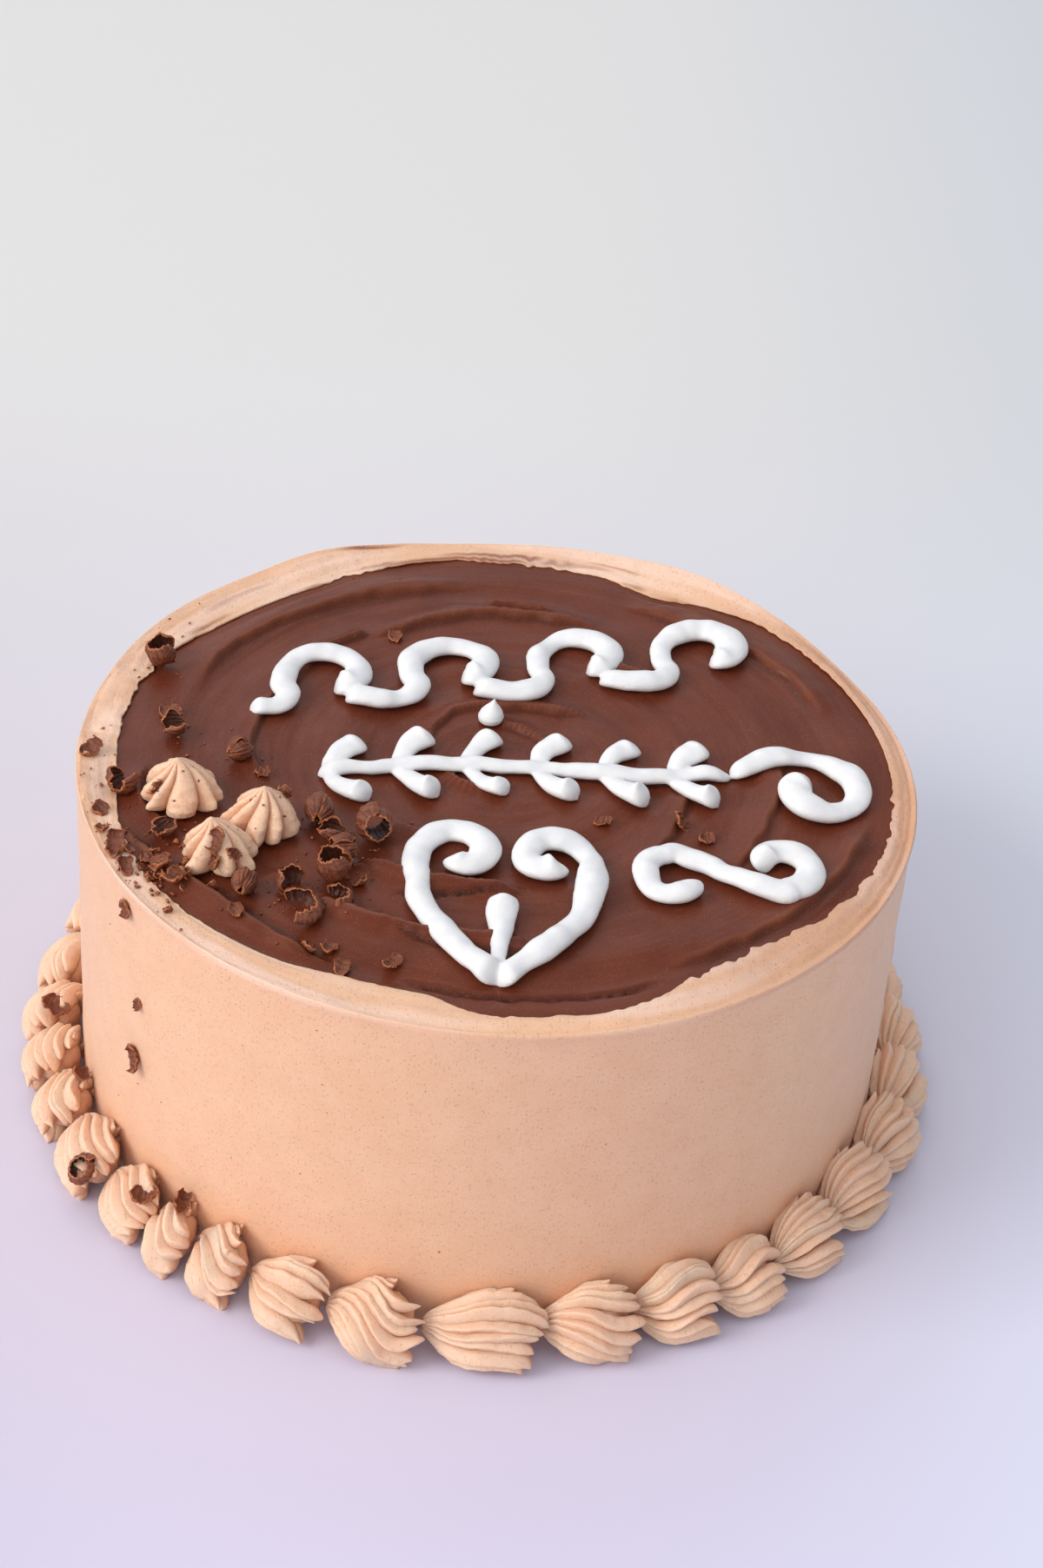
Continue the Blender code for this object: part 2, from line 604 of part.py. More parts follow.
def add_piped_flakes(stars, dollops, finish):
    """Flakes fused to the stars and dollops they fell on."""
    bpy.context.view_layer.update()
    spots = [([stars[star - 1]], x, y, size, turn) for star, x, y, size, turn in STAR_FLAKES]
    for degrees, radius, size, turn in BORDER_FLAKES:
        x, y, _ = on_circle(radius, 0, degrees)
        spots.append((dollops, x, y, size, turn))
    for pieces, x, y, size, turn in spots:
        piece, height, normal = surface_below(pieces, x, y)
        upright = normal.to_track_quat("Z", "Y").to_matrix().to_4x4()
        fuse(piece, [flake_solid("piped_flake", size, turn, (x, y, height), upright, finish)])


def main():
    for old in list(bpy.data.objects):
        bpy.data.objects.remove(old)
    buttercream = material("buttercream", (0.80, 0.52, 0.36), 0.55, 0.1)
    dark = material("ganache", (0.11, 0.045, 0.032), 0.4)
    white = material("white_icing", (0.9, 0.9, 0.9), 0.35, 0.1)
    chocolate = material("chocolate", (0.16, 0.055, 0.03), 0.5)

    whole = bpy.data.objects.new("layer_cake", None)
    bpy.context.scene.collection.objects.link(whole)

    cake = build_cake(buttercream, whole)
    ganache = build_ganache(dark, whole)
    add_flakes(cake, ganache, chocolate)
    stars = []
    for i, place in enumerate(STARS, 1):
        stars.append(build_star(f"star_{i}", place, buttercream, whole))
    dollops = []
    for i, place in enumerate(border_places(), 1):
        dollops.append(build_dollop(f"border_{i:02d}", place, buttercream, whole))
    add_piped_flakes(stars, dollops, chocolate)
    build_scrollwork(white, whole)
    for name, place in CURLS.items():
        build_curl(name, place, chocolate, whole)
    build_curl("curl_border", BORDER_CURL, chocolate, whole, lambda x, y: surface_below(dollops, x, y)[1])


main()
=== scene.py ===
"""Looks of the layer cake: every surface as it shows in the photo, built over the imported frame.

Sizes are in millimetres and degrees, as in the part's source, and add_piece turns them into metres. Each
piece is worked out as arrays of points by the same rules as its solid, with the finer forms added. The
decoration's places repeat the part's. The floor is the plain pale surface that the cake stands on.
"""

import math

import bpy
import numpy as np
from mathutils import Euler, Matrix, Vector
from mathutils.bvhtree import BVHTree


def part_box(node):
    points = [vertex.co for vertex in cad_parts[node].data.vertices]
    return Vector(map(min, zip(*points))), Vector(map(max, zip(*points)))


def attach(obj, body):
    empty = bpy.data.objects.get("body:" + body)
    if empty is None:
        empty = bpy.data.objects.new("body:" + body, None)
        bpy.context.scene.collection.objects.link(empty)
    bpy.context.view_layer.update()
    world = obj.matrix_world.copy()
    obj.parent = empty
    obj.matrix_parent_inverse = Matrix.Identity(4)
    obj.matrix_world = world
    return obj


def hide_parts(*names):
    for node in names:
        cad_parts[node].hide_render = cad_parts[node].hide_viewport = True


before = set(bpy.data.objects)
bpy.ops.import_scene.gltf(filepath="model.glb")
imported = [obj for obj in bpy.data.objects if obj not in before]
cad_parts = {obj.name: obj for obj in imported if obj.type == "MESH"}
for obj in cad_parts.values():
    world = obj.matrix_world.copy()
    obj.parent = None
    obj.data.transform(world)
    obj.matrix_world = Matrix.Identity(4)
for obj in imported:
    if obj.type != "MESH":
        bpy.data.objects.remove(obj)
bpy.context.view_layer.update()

MM = 0.001

# The iced cake, as in the part.
WALL_RADIUS = 108.0
RIDGE_FLARE = 4.0
CHANNEL_DEPTH = 1.0
RIM_INNER = (
    (-180, 98.4), (-168, 98.2), (-158, 100.2), (-145, 101.4), (-130, 100.3), (-118, 98.6), (-110, 96.2),
    (-100, 95.8), (-96, 96.6), (-90, 100.6), (-80, 101.3), (-70, 100.8), (-62, 97.6), (-55, 95.0),
    (-44, 95.6), (-32, 99.2), (-18, 101.8), (0, 102.8), (20, 103.2), (40, 103.4), (50, 102.8), (58, 98.8),
    (65, 95.2), (75, 98.2), (88, 98.8), (100, 100.0), (112, 98.4), (128, 95.6), (145, 96.2), (158, 99.6),
)
RIM_RIDGE = (
    (-165, 98.7), (-145, 97.8), (-105, 97.7), (-85, 97.5), (-50, 97.4), (-30, 97.0), (0, 97.5), (15, 97.0),
    (30, 96.0), (45, 98.0), (60, 100.2), (75, 98.7), (98, 97.0), (108, 98.0), (120, 99.7), (133, 98.3),
    (150, 99.0), (175, 97.6),
)
# Section of the ridge that the scraper left: (out from the wall, up from the ridge's line).
RIDGE_LINE = ((0.1, -3.0), (0.3, -2.0), (0.5, -1.3), (0.6, -0.8), (0.55, -0.4), (0.35, -0.1), (0.1, 0.0))
BAND_SHARES = (0.0, 0.07, 0.16, 0.4, 0.75, 1.0)  # how far across the rim rim_height's heights stand
LIP_LINE = ((-0.18, -0.22), (-0.05, -0.5), (0.5, -0.8))  # how the lip turns under: (out, up)

# Ganache dragged along the rim: (start angle, end angle, share across the rim, width, strength).
RIM_SMEARS = (
    (101, 119, 0.1, 0.07, 1.0), (84, 104, 0.72, 0.1, 0.9), (66, 88, 0.86, 0.12, 1.0),
    (60, 80, 0.55, 0.06, 0.6), (108, 130, 0.9, 0.08, 0.8), (140, 152, 0.88, 0.12, 0.9),
    (126, 146, 0.5, 0.05, 0.4),
)

# The ganache, as in the part.
GANACHE_LEVEL = 96.4
GANACHE_THICKNESS = 3.6
RIM_OVER_GANACHE = 0.8
SWIRL_DEPTH = 0.35
SWIRL_PITCH = 23.0

# How finely the cake is divided.
ICING_AROUND = 1200
WALL_ROWS = 14
BAND_ROWS = 34
GANACHE_AROUND = 430
GANACHE_ROWS = 170

# Marks that the spatula left in the ganache: (height, width, the line it follows). The side to the left of
# the line's way falls steeply and the other one gently. A height under zero is a groove.
GANACHE_MARKS = (
    (0.55, 1.6, ((24, 24), (12, 26), (0, 26), (-10, 24), (-17, 15), (-18, 5))),
    (0.45, 1.2, ((14, 8), (10, 13), (5, 16), (-2, 18))),
    (0.6, 2.2, ((26, 67), (14, 70), (-5, 71), (-20, 66), (-38, 55))),
    (0.5, 1.4, ((12, 73), (2, 75), (-8, 74))),
    (0.6, 1.5, ((-50, 45), (-60, 24), (-64, 8), (-63, -6), (-58, -14))),
    (0.6, 1.2, ((-38, 57), (-44, 52), (-50, 46))),
    (0.9, 1.8, ((-34, -45), (-27, -47), (-18, -50.5), (-2, -52), (9, -52))),
    (-0.8, 0.8, ((-24, -57.5), (-10, -56.5), (5, -54))),
    (1.0, 2.0, ((-46, -62), (-36, -65), (-25, -69), (-10, -72), (12, -71.5))),
    (-1.0, 0.9, ((-23, -70.5), (-14, -76), (0, -77.5), (14, -76))),
    (-1.3, 0.9, ((-22, -89), (-2, -92.6), (12, -92.4), (26, -90), (36, -86.5), (45, -80))),
    (0.9, 2.6, ((-94, -36), (-86, -46), (-78, -54), (-69, -61), (-58, -71), (-47, -79.5), (-34, -87))),
    (0.5, 1.8, ((-56, -50), (-46, -57), (-35, -63), (-22, -66))),
    (0.5, 2.4, ((73, 12), (73, 0), (70, -15), (65, -29), (58, -42))),
    (0.5, 2.0, ((50, -4), (48, -14), (43, -30), (35, -43))),
    (0.6, 3.0, ((96, -12), (91, -27), (84, -41), (73, -55), (58, -68), (42, -78))),
    (0.9, 2.4, ((22, 52), (32, 48), (43, 41))),
    (0.5, 1.4, ((-14, -4), (-9, -9), (-3, -10), (1, -5))),
    (0.4, 2.0, ((-27, -27), (-18, -32), (-5, -33), (3, -31))),
    (0.5, 3.0, ((-8, 86), (-40, 76), (-62, 60), (-76, 42), (-82, 22))),
    (0.6, 1.6, ((-86, -12), (-90, -18), (-89, -27), (-84, -34), (-78, -38))),
    (0.5, 2.6, ((86, 30), (80, 46), (66, 62), (48, 74), (30, 82))),
)
MARK_STRENGTH = 3.4  # times the height of a raised mark

# Piped stars: (x, y, radius, height, turn, lean x, lean y).
STARS = (
    (-79.2, -25.5, 10.0, 12.0, 8.0, -0.8, 0.6),
    (-57.4, -35.8, 9.3, 13.0, 30.0, 0.3, 0.4),
    (-66.6, -48.8, 9.2, 11.8, 12.0, -2.2, 0.8),
)
STAR_LOBES = 8
STAR_TWIST = 0.35  # radians that the ridges turn from foot to tip
STAR_RISES = (0, 0.08, 0.2, 0.4, 0.6, 0.78, 0.9, 0.96, 1.0)  # shares of its height
STAR_WIDTHS = (0.86, 0.98, 1.0, 0.91, 0.7, 0.42, 0.2, 0.09, 0.02)  # shares of its radius, at each
STAR_COLUMNS = 176
STAR_ROWS = 56
STAR_CREASE = 0.46  # share of the radius that the creases are deep

# The border's dollops: (tail angle, tail radius, height, reach from the wall, ridges, twist in degrees).
BORDER = (
    (-182.0, 114.5, 15, 15, 7, 30), (-172.6, 114, 15.5, 15, 7, 20), (-163.6, 114.5, 14.5, 14.5, 6, 35),
    (-154.3, 113, 15.5, 15.5, 7, 25), (-142.6, 113.5, 15, 14, 6, 30), (-132.9, 113, 14.5, 14.5, 5, 34),
    (-126.2, 111.5, 16.5, 14.5, 7, 40), (-117.2, 112.5, 16, 15, 6, 12), (-106.4, 113, 16.5, 15.5, 7, 52),
    (-94.2, 113.5, 16, 14.5, 8, 2), (-79.6, 112.5, 16.5, 14, 7, 26), (-67.4, 112.5, 16.5, 14, 8, -8),
    (-56.6, 114, 15, 14, 7, -10), (-46.6, 115, 16.5, 14, 8, 6), (-35.4, 114.5, 17, 14.5, 7, 14),
    (-23.2, 114, 16, 14.5, 7, 20), (-11.6, 113.5, 15.5, 14.5, 6, 10), (-1.0, 113.5, 15, 14.5, 7, 18),
)
BACK_START = 9.6  # angles between which the dollops at the back stand
BACK_END = 178.0
BACK_COUNT = 15
BACK_TAIL_RADIUS = 113.8
BACK_REACH = 14.6
TAIL_HEIGHT = 7.0
STRAND_REACH = 8.8  # radius of a full dollop's round section, on average
BODY_GRID = (20, 28)  # points along a dollop's body and round it
FRONT_DETAIL = (16, 44)  # points round each strand and along it
BACK_DETAIL = (12, 26)

# White piped scrollwork.
LINE_RADIUS = 3.55
LINE_HEIGHT = 4.8
LINE_STEP = 0.7
LINE_SIDES = 14
LINE_VOXEL = 0.42
LINE_SOFTENING = 8  # passes that soften where strokes meet
LINE_ROUNDING = 4.2  # length over which a stroke's ends are rounded
# The start of a wave, in shares of its length and height.
WAVE_FOOT = ((-0.42, 0.16), (-0.18, 0.03), (0.04, 0.05), (0.15, 0.2))
WAVE_CENTRE = 0.52
WAVE_TURN = -290
WAVE_END = 0.17
LYING_ENDS = (0.24, 0.76)  # where the lying scroll's spirals are, as shares of it
LYING_TURN = 300
LEAF_LEAN = 0.62  # how far forwards a leaf reaches, in steps of the stem
STEM_SWING = 3.0
BEAD = (-3.0, 18.6, 3.4, 6.4)  # x, y, radius and height
BEAD_LEAN = 0.9
BEAD_RISES = (0, 0.08, 0.25, 0.45, 0.62, 0.78, 0.9, 1)
BEAD_WIDTHS = (0.8, 0.95, 1, 0.85, 0.6, 0.32, 0.15, 0.02)
BEAD_GRID = (30, 40)

# Rolled chocolate curls: (x, y, radius, width, sweep, pitch, roll, yaw).
CURLS = {
    "curl_rim": (-91.5, 34.5, 4.2, 7.0, 300, 62, 0, 20),
    "curl_left_back": (-84.0, 2.5, 3.4, 6.5, 230, 0, 15, 30),
    "curl_star_left": (-93.8, -23.6, 4.0, 7.5, 250, 10, 0, 70),
    "curl_behind_stars": (-66.2, -7.0, 3.3, 7.0, 290, 0, 0, 35),
    "curl_upright": (-43.4, -30.2, 3.9, 9.5, 320, 0, 0, 84),
    "curl_clump": (-39.4, -38.4, 3.3, 6.5, 250, 20, 0, 10),
    "curl_open": (-29.2, -35.6, 5.0, 8.0, 290, 15, 0, 110),
    "curl_barrel": (-36.4, -45.6, 3.3, 6.5, 330, 0, 0, 10),
    "curl_cup": (-37.8, -54.0, 4.3, 7.5, 330, 70, 0, 10),
    "curl_hook": (-36.6, -62.6, 4.2, 3.6, 220, 80, 0, 200),
    "curl_standing": (-47.4, -60.0, 4.2, 5.5, 170, 80, 0, 320),
    "curl_large": (-45.6, -68.8, 6.4, 4.2, 220, 80, 0, 200),
    "curl_seed": (-58.8, -61.2, 3.2, 9.0, 300, 0, 0, 80),
    "curl_slab": (-81.0, -40.0, 3.3, 7.5, 160, 0, 0, 65),
    "curl_border": (-98.4, -72.8, 4.4, 3.0, 300, 50, 0, 36),
}
CURL_THICKNESS = 0.6
STANDING_PITCH = 60  # degrees, beyond which a curl stands on its end
RIB_DEPTH = 0.4
CLOSED_SWEEP = 290  # degrees, from which a lying curl is rolled shut
ROLLED_ON = 80  # degrees that its outer end laps over
OPEN_ENDED = ("curl_open", "curl_barrel", "curl_border")  # lying curls that can be seen into
# The last entry of each is how much painted shade darkens the roll's inside.
SHUT_ROLL = {"opening": 0.34, "rough": 1.0, "inner_shade": 0.85}  # how shaving forms a curl that is rolled shut
LOOSE_ROLL = {"opening": 0.2, "rough": 1.7, "inner_shade": 0.5}  # and any other curl
CURL_GRID = (96, 18)  # points along the roll and across it
FLAKE_GRID = (34, 14)
FLAKE_SPREAD = 1.15  # how much wider the flakes are than on the solids

# Flakes: (x, y, size, turn) on the ganache and the stars, (angle, radius, size, turn) on the rim and the
# border, and (angle, height, size, turn) on the side.
GANACHE_FLAKES = (
    (-86.5, 11.5, 5.5, 20), (-30.5, 56.0, 4.0, 60), (-59.6, -12.4, 4.0, 10), (-21.6, -84.5, 5.0, -20),
    (-42.0, -81.6, 4.6, 50), (-36.8, -80.4, 4.6, 0), (-59.6, -71.6, 4.0, 70), (-31.0, -54.6, 3.6, 80),
    (28.0, -22.5, 4.0, 40), (46.5, -21.5, 4.6, 0), (53.8, -26.2, 4.4, 30), (-33.2, -86.8, 4.6, 15),
    (-75.4, -60.0, 5.8, 30), (-80.0, -54.6, 5.8, 60),
)
RIM_FLAKES = (
    (-175.0, 104.0, 5.4, 15), (-161.4, 103.8, 4.6, 70), (-152.4, 104.0, 7.0, 40), (-147.8, 104.8, 5.0, 120),
    (-156.4, 105.0, 3.4, 10),
)
SIDE_FLAKES = ((-143.6, 91.0, 5.0, 20), (-141.6, 46.0, 6.2, 35), (-140.9, 64.5, 2.8, 0))
STAR_FLAKES = (
    (-84.0, -30.2, 4.2, 10), (-52.8, -30.4, 4.2, 40), (-66.6, -52.2, 4.4, 0), (-66.2, -55.6, 4.2, 80),
    (-62.8, -54.6, 3.8, 40),
)
BORDER_FLAKES = (
    (-173.4, 115.6, 6.5, 0), (-158.2, 112.0, 5.0, 30), (-134.2, 116.0, 5.5, 10), (-129.6, 112.6, 5.5, 60),
)

# Crumbs and the smallest broken bits.
CRUMBS_BY_CURL = 14
CRUMBS_BY_STAR = 16
CRUMBS_ANYWHERE = 90
CRUMBS_ON_SIDE = 34
CRUMBS_ON_RIM = ((-165, 22, 26), (-150, 6, 44))  # (middle, spread, count)
HEAP = np.array([-83.0, -57.0])  # middle of the heap of broken bits by the rim
HEAP_COUNT = 60
HEAP_SHARDS = 18
CRUMB_LEVEL = 90.0  # crumbs that would land lower than this are left out

# The camera, as fitted to the rim and the foot in the photo.
CAMERA_PLACE = (0.0, -641.2, 553.2)
CAMERA_YAW = 0.010086  # radians, to the right of +Y
CAMERA_PITCH = 0.624703  # downwards
CAMERA_ROLL = 0.079183
CAMERA_LENS = 69.84
CAMERA_SENSOR = 36.0
FLOOR_REACH = 4.0  # metres from the cake's middle to each side of the floor


def srgb(red, green, blue):
    """A colour given in 8-bit sRGB, as the linear colour that shaders take."""
    shares = [value / 255 for value in (red, green, blue)]
    return (*(s / 12.92 if s <= 0.04045 else ((s + 0.055) / 1.055) ** 2.4 for s in shares), 1.0)


def smooth(low, high, values):
    """0 below low, 1 above high and a smooth step between."""
    t = np.clip((values - low) / (high - low), 0, 1)
    return t * t * (3 - 2 * t)


def within(start, full, fading, end, values):
    """1 from full to fading, 0 before start and after end, and smooth steps between."""
    return smooth(start, full, values) * (1 - smooth(fading, end, values))


def ripple(points, size, seed, waves=14):
    """Smooth noise of about -1 to 1 at points, with bumps of about the given size."""
    source = np.random.default_rng(seed)
    points = np.asarray(points, float)
    total = np.zeros(points.shape[:-1])
    for _ in range(waves):
        way = source.normal(size=points.shape[-1])
        way /= np.linalg.norm(way)
        length = 2 * size * source.uniform(0.7, 1.7)
        total += np.sin(points @ way * 2 * math.pi / length + source.uniform(0, 2 * math.pi))
    return total / math.sqrt(waves)


def catmull_rom(p0, p1, p2, p3, t):
    """The place at share t from p1 to p2 on a smooth curve through all four."""
    bend = (2 * p0 - 5 * p1 + 4 * p2 - p3) * t**2 + (3 * p1 - p0 - 3 * p2 + p3) * t**3
    return 0.5 * (2 * p1 + (p2 - p0) * t + bend)


def curve_at(table, degrees):
    """A smooth closed curve through (degrees, value) pairs, at an array of angles."""
    known = np.array(sorted(table), float)
    places = np.concatenate([known[-2:, 0] - 360, known[:, 0], known[:3, 0] + 360])
    values = np.concatenate([known[-2:, 1], known[:, 1], known[:3, 1]])
    angle = (np.asarray(degrees, float) - known[0, 0]) % 360 + known[0, 0]
    k = np.searchsorted(places, angle, side="right") - 1
    t = (angle - places[k]) / (places[k + 1] - places[k])
    return catmull_rom(values[k - 1], values[k], values[k + 1], values[k + 2], t)


def smooth_line(corners, step):
    """Points about every step along a Catmull-Rom curve through the corners."""
    corners = np.array(corners, float)
    knots = np.vstack([2 * corners[0] - corners[1], corners, 2 * corners[-1] - corners[-2]])
    t = np.linspace(0, 1, 24, endpoint=False)[:, None]
    runs = [catmull_rom(*four, t) for four in zip(knots, knots[1:], knots[2:], knots[3:])]
    fine = np.vstack([*runs, knots[-2][None]])
    walked = np.concatenate([[0], np.cumsum(np.linalg.norm(np.diff(fine, axis=0), axis=1))])
    even = np.linspace(0, walked[-1], max(3, round(walked[-1] / step) + 1))
    return np.stack([np.interp(even, walked, fine[:, i]) for i in range(fine.shape[1])], axis=1)


def bell(values, width):
    """1 at zero, falling away on either side within about the width."""
    return np.exp(-((values / width) ** 2))


def directions(line):
    """The unit direction of a line of points at each of them."""
    along = np.gradient(line, axis=0)
    return along / np.linalg.norm(along, axis=1)[:, None]


def in_plan(radius, turn):
    """The x and y of a place round the cake's axis."""
    return radius * math.cos(turn), radius * math.sin(turn)


def around(radius, turn, height):
    """Points round the cake's axis, from arrays of radius, turn and height."""
    return np.stack(np.broadcast_arrays(radius * np.cos(turn), radius * np.sin(turn), height), axis=-1)


def closed(rings, first, last):
    """Rings of points as a closed surface, fanned to a point at either end. Returns its points and faces."""
    rows, columns = rings.shape[:2]
    here = np.arange(columns)
    after = (here + 1) % columns
    faces = []
    for row in range(rows - 1):
        a, b = row * columns, (row + 1) * columns
        faces += np.stack([a + here, a + after, b + after, b + here], axis=1).tolist()
    end, count = (rows - 1) * columns, rows * columns
    faces += np.stack([after, here, np.full(columns, count)], axis=1).tolist()
    faces += np.stack([end + here, end + after, np.full(columns, count + 1)], axis=1).tolist()
    return np.vstack([rings.reshape(-1, 3), first, last]), faces


def with_ends(values, first=0.0, last=0.0):
    """A mark's values at the points of closed rings, with its values at their two end points."""
    return np.append(values, [first, last])


def joined(shapes):
    """Several shapes as one: each has its points, its faces and any marks, and so has the result."""
    faces, start = [], 0
    for points, shape_faces, *_ in shapes:
        faces += [tuple(start + v for v in face) for face in shape_faces]
        start += len(points)
    points, _, *marks = zip(*shapes)
    return np.vstack(points), faces, *(np.concatenate(values) for values in marks)


def mesh_points(mesh):
    """The places of a mesh's points in millimetres."""
    flat = np.zeros(len(mesh.vertices) * 3)
    mesh.vertices.foreach_get("co", flat)
    return flat.reshape(-1, 3) / MM


def add_piece(name, points, faces, finish, slot, nodes=(), **marks):
    """One visible piece from points in millimetres, riding on the frame. Its material reads the marks."""
    mesh = bpy.data.meshes.new(name)
    mesh.from_pydata((np.asarray(points, float) * MM).tolist(), [], faces)
    mesh.shade_smooth()
    mesh.materials.append(finish)
    for mark, values in marks.items():
        kept = mesh.attributes.new(mark, "FLOAT", "POINT")
        kept.data.foreach_set("value", np.asarray(values, np.float32))
    piece = bpy.data.objects.new(name, mesh)
    bpy.context.scene.collection.objects.link(piece)
    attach(piece, "root")
    if nodes:
        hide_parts(*nodes)
    return piece


def set_inputs(tree, shader, values):
    """A node's inputs, as constants or as other nodes' outputs."""
    for key, value in values.items():
        if isinstance(value, bpy.types.NodeSocket):
            tree.links.new(value, shader.inputs[key])
        else:
            shader.inputs[key].default_value = value


def add_node(tree, kind, inputs=(), **settings):
    """A shader node with its settings and its inputs."""
    made = tree.nodes.new(kind)
    for key, value in settings.items():
        setattr(made, key, value)
    set_inputs(tree, made, dict(inputs))
    return made


def mixed(tree, share, first, second):
    """Mixes two colours, from first to second."""
    return add_node(tree, "ShaderNodeMix", {0: share, 6: first, 7: second}, data_type="RGBA").outputs[2]


def ranged(tree, value, low, high, to_low=0.0, to_high=1.0):
    """A value's range from low to high, spread smoothly over another."""
    inputs = {"Value": value, "From Min": low, "From Max": high, "To Min": to_low, "To Max": to_high}
    return add_node(tree, "ShaderNodeMapRange", inputs, interpolation_type="SMOOTHSTEP").outputs[0]


def calculated(tree, operation, first, second=0.0):
    """One sum on one or two values."""
    return add_node(tree, "ShaderNodeMath", {0: first, 1: second}, operation=operation).outputs[0]


def tinted(tree, colour, share, strength, tint):
    """The colour, tinted by the share times the strength."""
    return mixed(tree, calculated(tree, "MULTIPLY", share, strength), colour, tint)


def noise(tree, where, size, detail=3.0, roughness=0.55):
    """Noise with features of about size in millimetres."""
    inputs = {"Vector": where, "Scale": 1 / (size * MM), "Detail": detail, "Roughness": roughness}
    return add_node(tree, "ShaderNodeTexNoise", inputs).outputs["Fac"]


def specks(tree, where, spacing, radius, share):
    """1 inside small round specks: one in each cell of a random pattern, in the given share of the cells."""
    cells = add_node(tree, "ShaderNodeTexVoronoi", {"Vector": where, "Scale": 1 / (spacing * MM)})
    inside = ranged(tree, cells.outputs["Distance"], 0.6 * radius / spacing, radius / spacing, 1.0, 0.0)
    split = add_node(tree, "ShaderNodeSeparateColor", {0: cells.outputs["Color"]})
    chosen = calculated(tree, "GREATER_THAN", split.outputs[0], 1 - share)
    return calculated(tree, "MULTIPLY", inside, chosen)


def bumped(tree, height, distance, strength=1.0, under=None):
    """A bump of the given depth in millimetres, over another one if there is one."""
    inputs = {"Height": height, "Distance": distance * MM, "Strength": strength}
    if under is not None:
        inputs["Normal"] = under
    return add_node(tree, "ShaderNodeBump", inputs).outputs[0]


def new_material(name):
    """A new material with its node tree, the coordinates on its piece and its main shader."""
    made = bpy.data.materials.new(name)
    made.use_nodes = True
    tree = made.node_tree
    where = add_node(tree, "ShaderNodeTexCoord").outputs["Object"]
    return made, tree, where, tree.nodes["Principled BSDF"]


def mark_value(tree, name):
    """What a piece keeps at each point under this name."""
    return add_node(tree, "ShaderNodeAttribute", attribute_name=name).outputs["Fac"]


def polar_place(tree, where, turn_scale):
    """Coordinates (turn, radius, height) round the cake's axis, so that noise is drawn out round it."""
    split = add_node(tree, "ShaderNodeSeparateXYZ", {0: where})
    x, y, z = split.outputs
    turn = calculated(tree, "ARCTAN2", y, x)
    x2 = calculated(tree, "MULTIPLY", x, x)
    y2 = calculated(tree, "MULTIPLY", y, y)
    radius = calculated(tree, "SQRT", calculated(tree, "ADD", x2, y2))
    stretched = calculated(tree, "MULTIPLY", turn, turn_scale * MM)
    return add_node(tree, "ShaderNodeCombineXYZ", {0: stretched, 1: radius, 2: z}).outputs[0]


def buttercream(name, pale, deep, speck_share, spread=False):
    """Satin buttercream: soft mottling, fine pits, cocoa specks and a little light inside.

    Where it was spread it also has the scraper's lines, smears of ganache, painted shade over the rim's right
    side and moist patches, glossier and paler with a painted highlight. Where it was piped it has fine
    streaks that follow its strands, and painted shade that deepens its colour in its creases.
    """
    made, tree, where, shader = new_material(name)
    grain = noise(tree, where, 0.7, 4, 0.7)
    mottle = noise(tree, where, 10, 4, 0.6)
    colour = mixed(tree, ranged(tree, mottle, 0.25, 0.8), pale, deep)
    colour = mixed(tree, ranged(tree, grain, 0.5, 0.75, 0.0, 0.3), colour, srgb(200, 140, 104))
    colour = tinted(tree, colour, specks(tree, where, 2.6, 0.2, speck_share), 0.36, srgb(150, 92, 60))
    colour = tinted(tree, colour, specks(tree, where, 11, 0.3, 0.5 * speck_share), 0.85, srgb(96, 50, 30))
    pits = specks(tree, where, 1.0, 0.26, 0.5)
    rough = ranged(tree, noise(tree, where, 3, 2), 0.3, 0.7, 0.42, 0.58)
    if spread:
        # Painted highlight: moist patches are tinted paler.
        colour = tinted(tree, colour, mark_value(tree, "moist_and_highlight"), 0.6, srgb(250, 216, 196))
        # Stains and smears from the ganache, with painted shade over the rim's right side.
        colour = mixed(tree, mark_value(tree, "tone"), colour, srgb(150, 84, 48))
        lines = noise(tree, polar_place(tree, where, 12), 1.1, 3)
        bump = bumped(tree, noise(tree, where, 5, 3), 0.2, 0.5)
        bump = bumped(tree, lines, 0.08, 0.25, bump)
        moist = calculated(tree, "MULTIPLY", mark_value(tree, "moist_and_highlight"), 0.3)
        rough = calculated(tree, "SUBTRACT", rough, moist)
        sheen = {"Sheen Weight": 0.2, "Sheen Roughness": 0.35, "Sheen Tint": (0.9, 0.92, 1.0, 1.0)}
        set_inputs(tree, shader, sheen)
    else:
        # Painted shade in the piping's creases and under its strands.
        colour = tinted(tree, colour, mark_value(tree, "tone"), 0.5, srgb(202, 136, 94))
        rough = calculated(tree, "SUBTRACT", rough, 0.15)
        flow = {0: mark_value(tree, "streak"), 1: mark_value(tree, "run")}
        streaks = noise(tree, add_node(tree, "ShaderNodeCombineXYZ", flow).outputs[0], 400, 3)
        bump = bumped(tree, noise(tree, where, 2.2, 3), 0.2, 0.6)
        bump = bumped(tree, streaks, 0.12, 0.6, bump)
    bump = bumped(tree, grain, 0.2, 0.8, bump)
    bump = bumped(tree, calculated(tree, "SUBTRACT", 1.0, pits), 0.18, 0.9, bump)
    set_inputs(tree, shader, {
        "Base Color": colour,
        "Roughness": rough,
        "Specular IOR Level": 0.4,
        "Subsurface Weight": 0.2 if spread else 0.32,
        "Subsurface Radius": (1.0, 0.5, 0.3),
        "Subsurface Scale": 0.0025 if spread else 0.0035,
        "Normal": bump,
    })
    return made


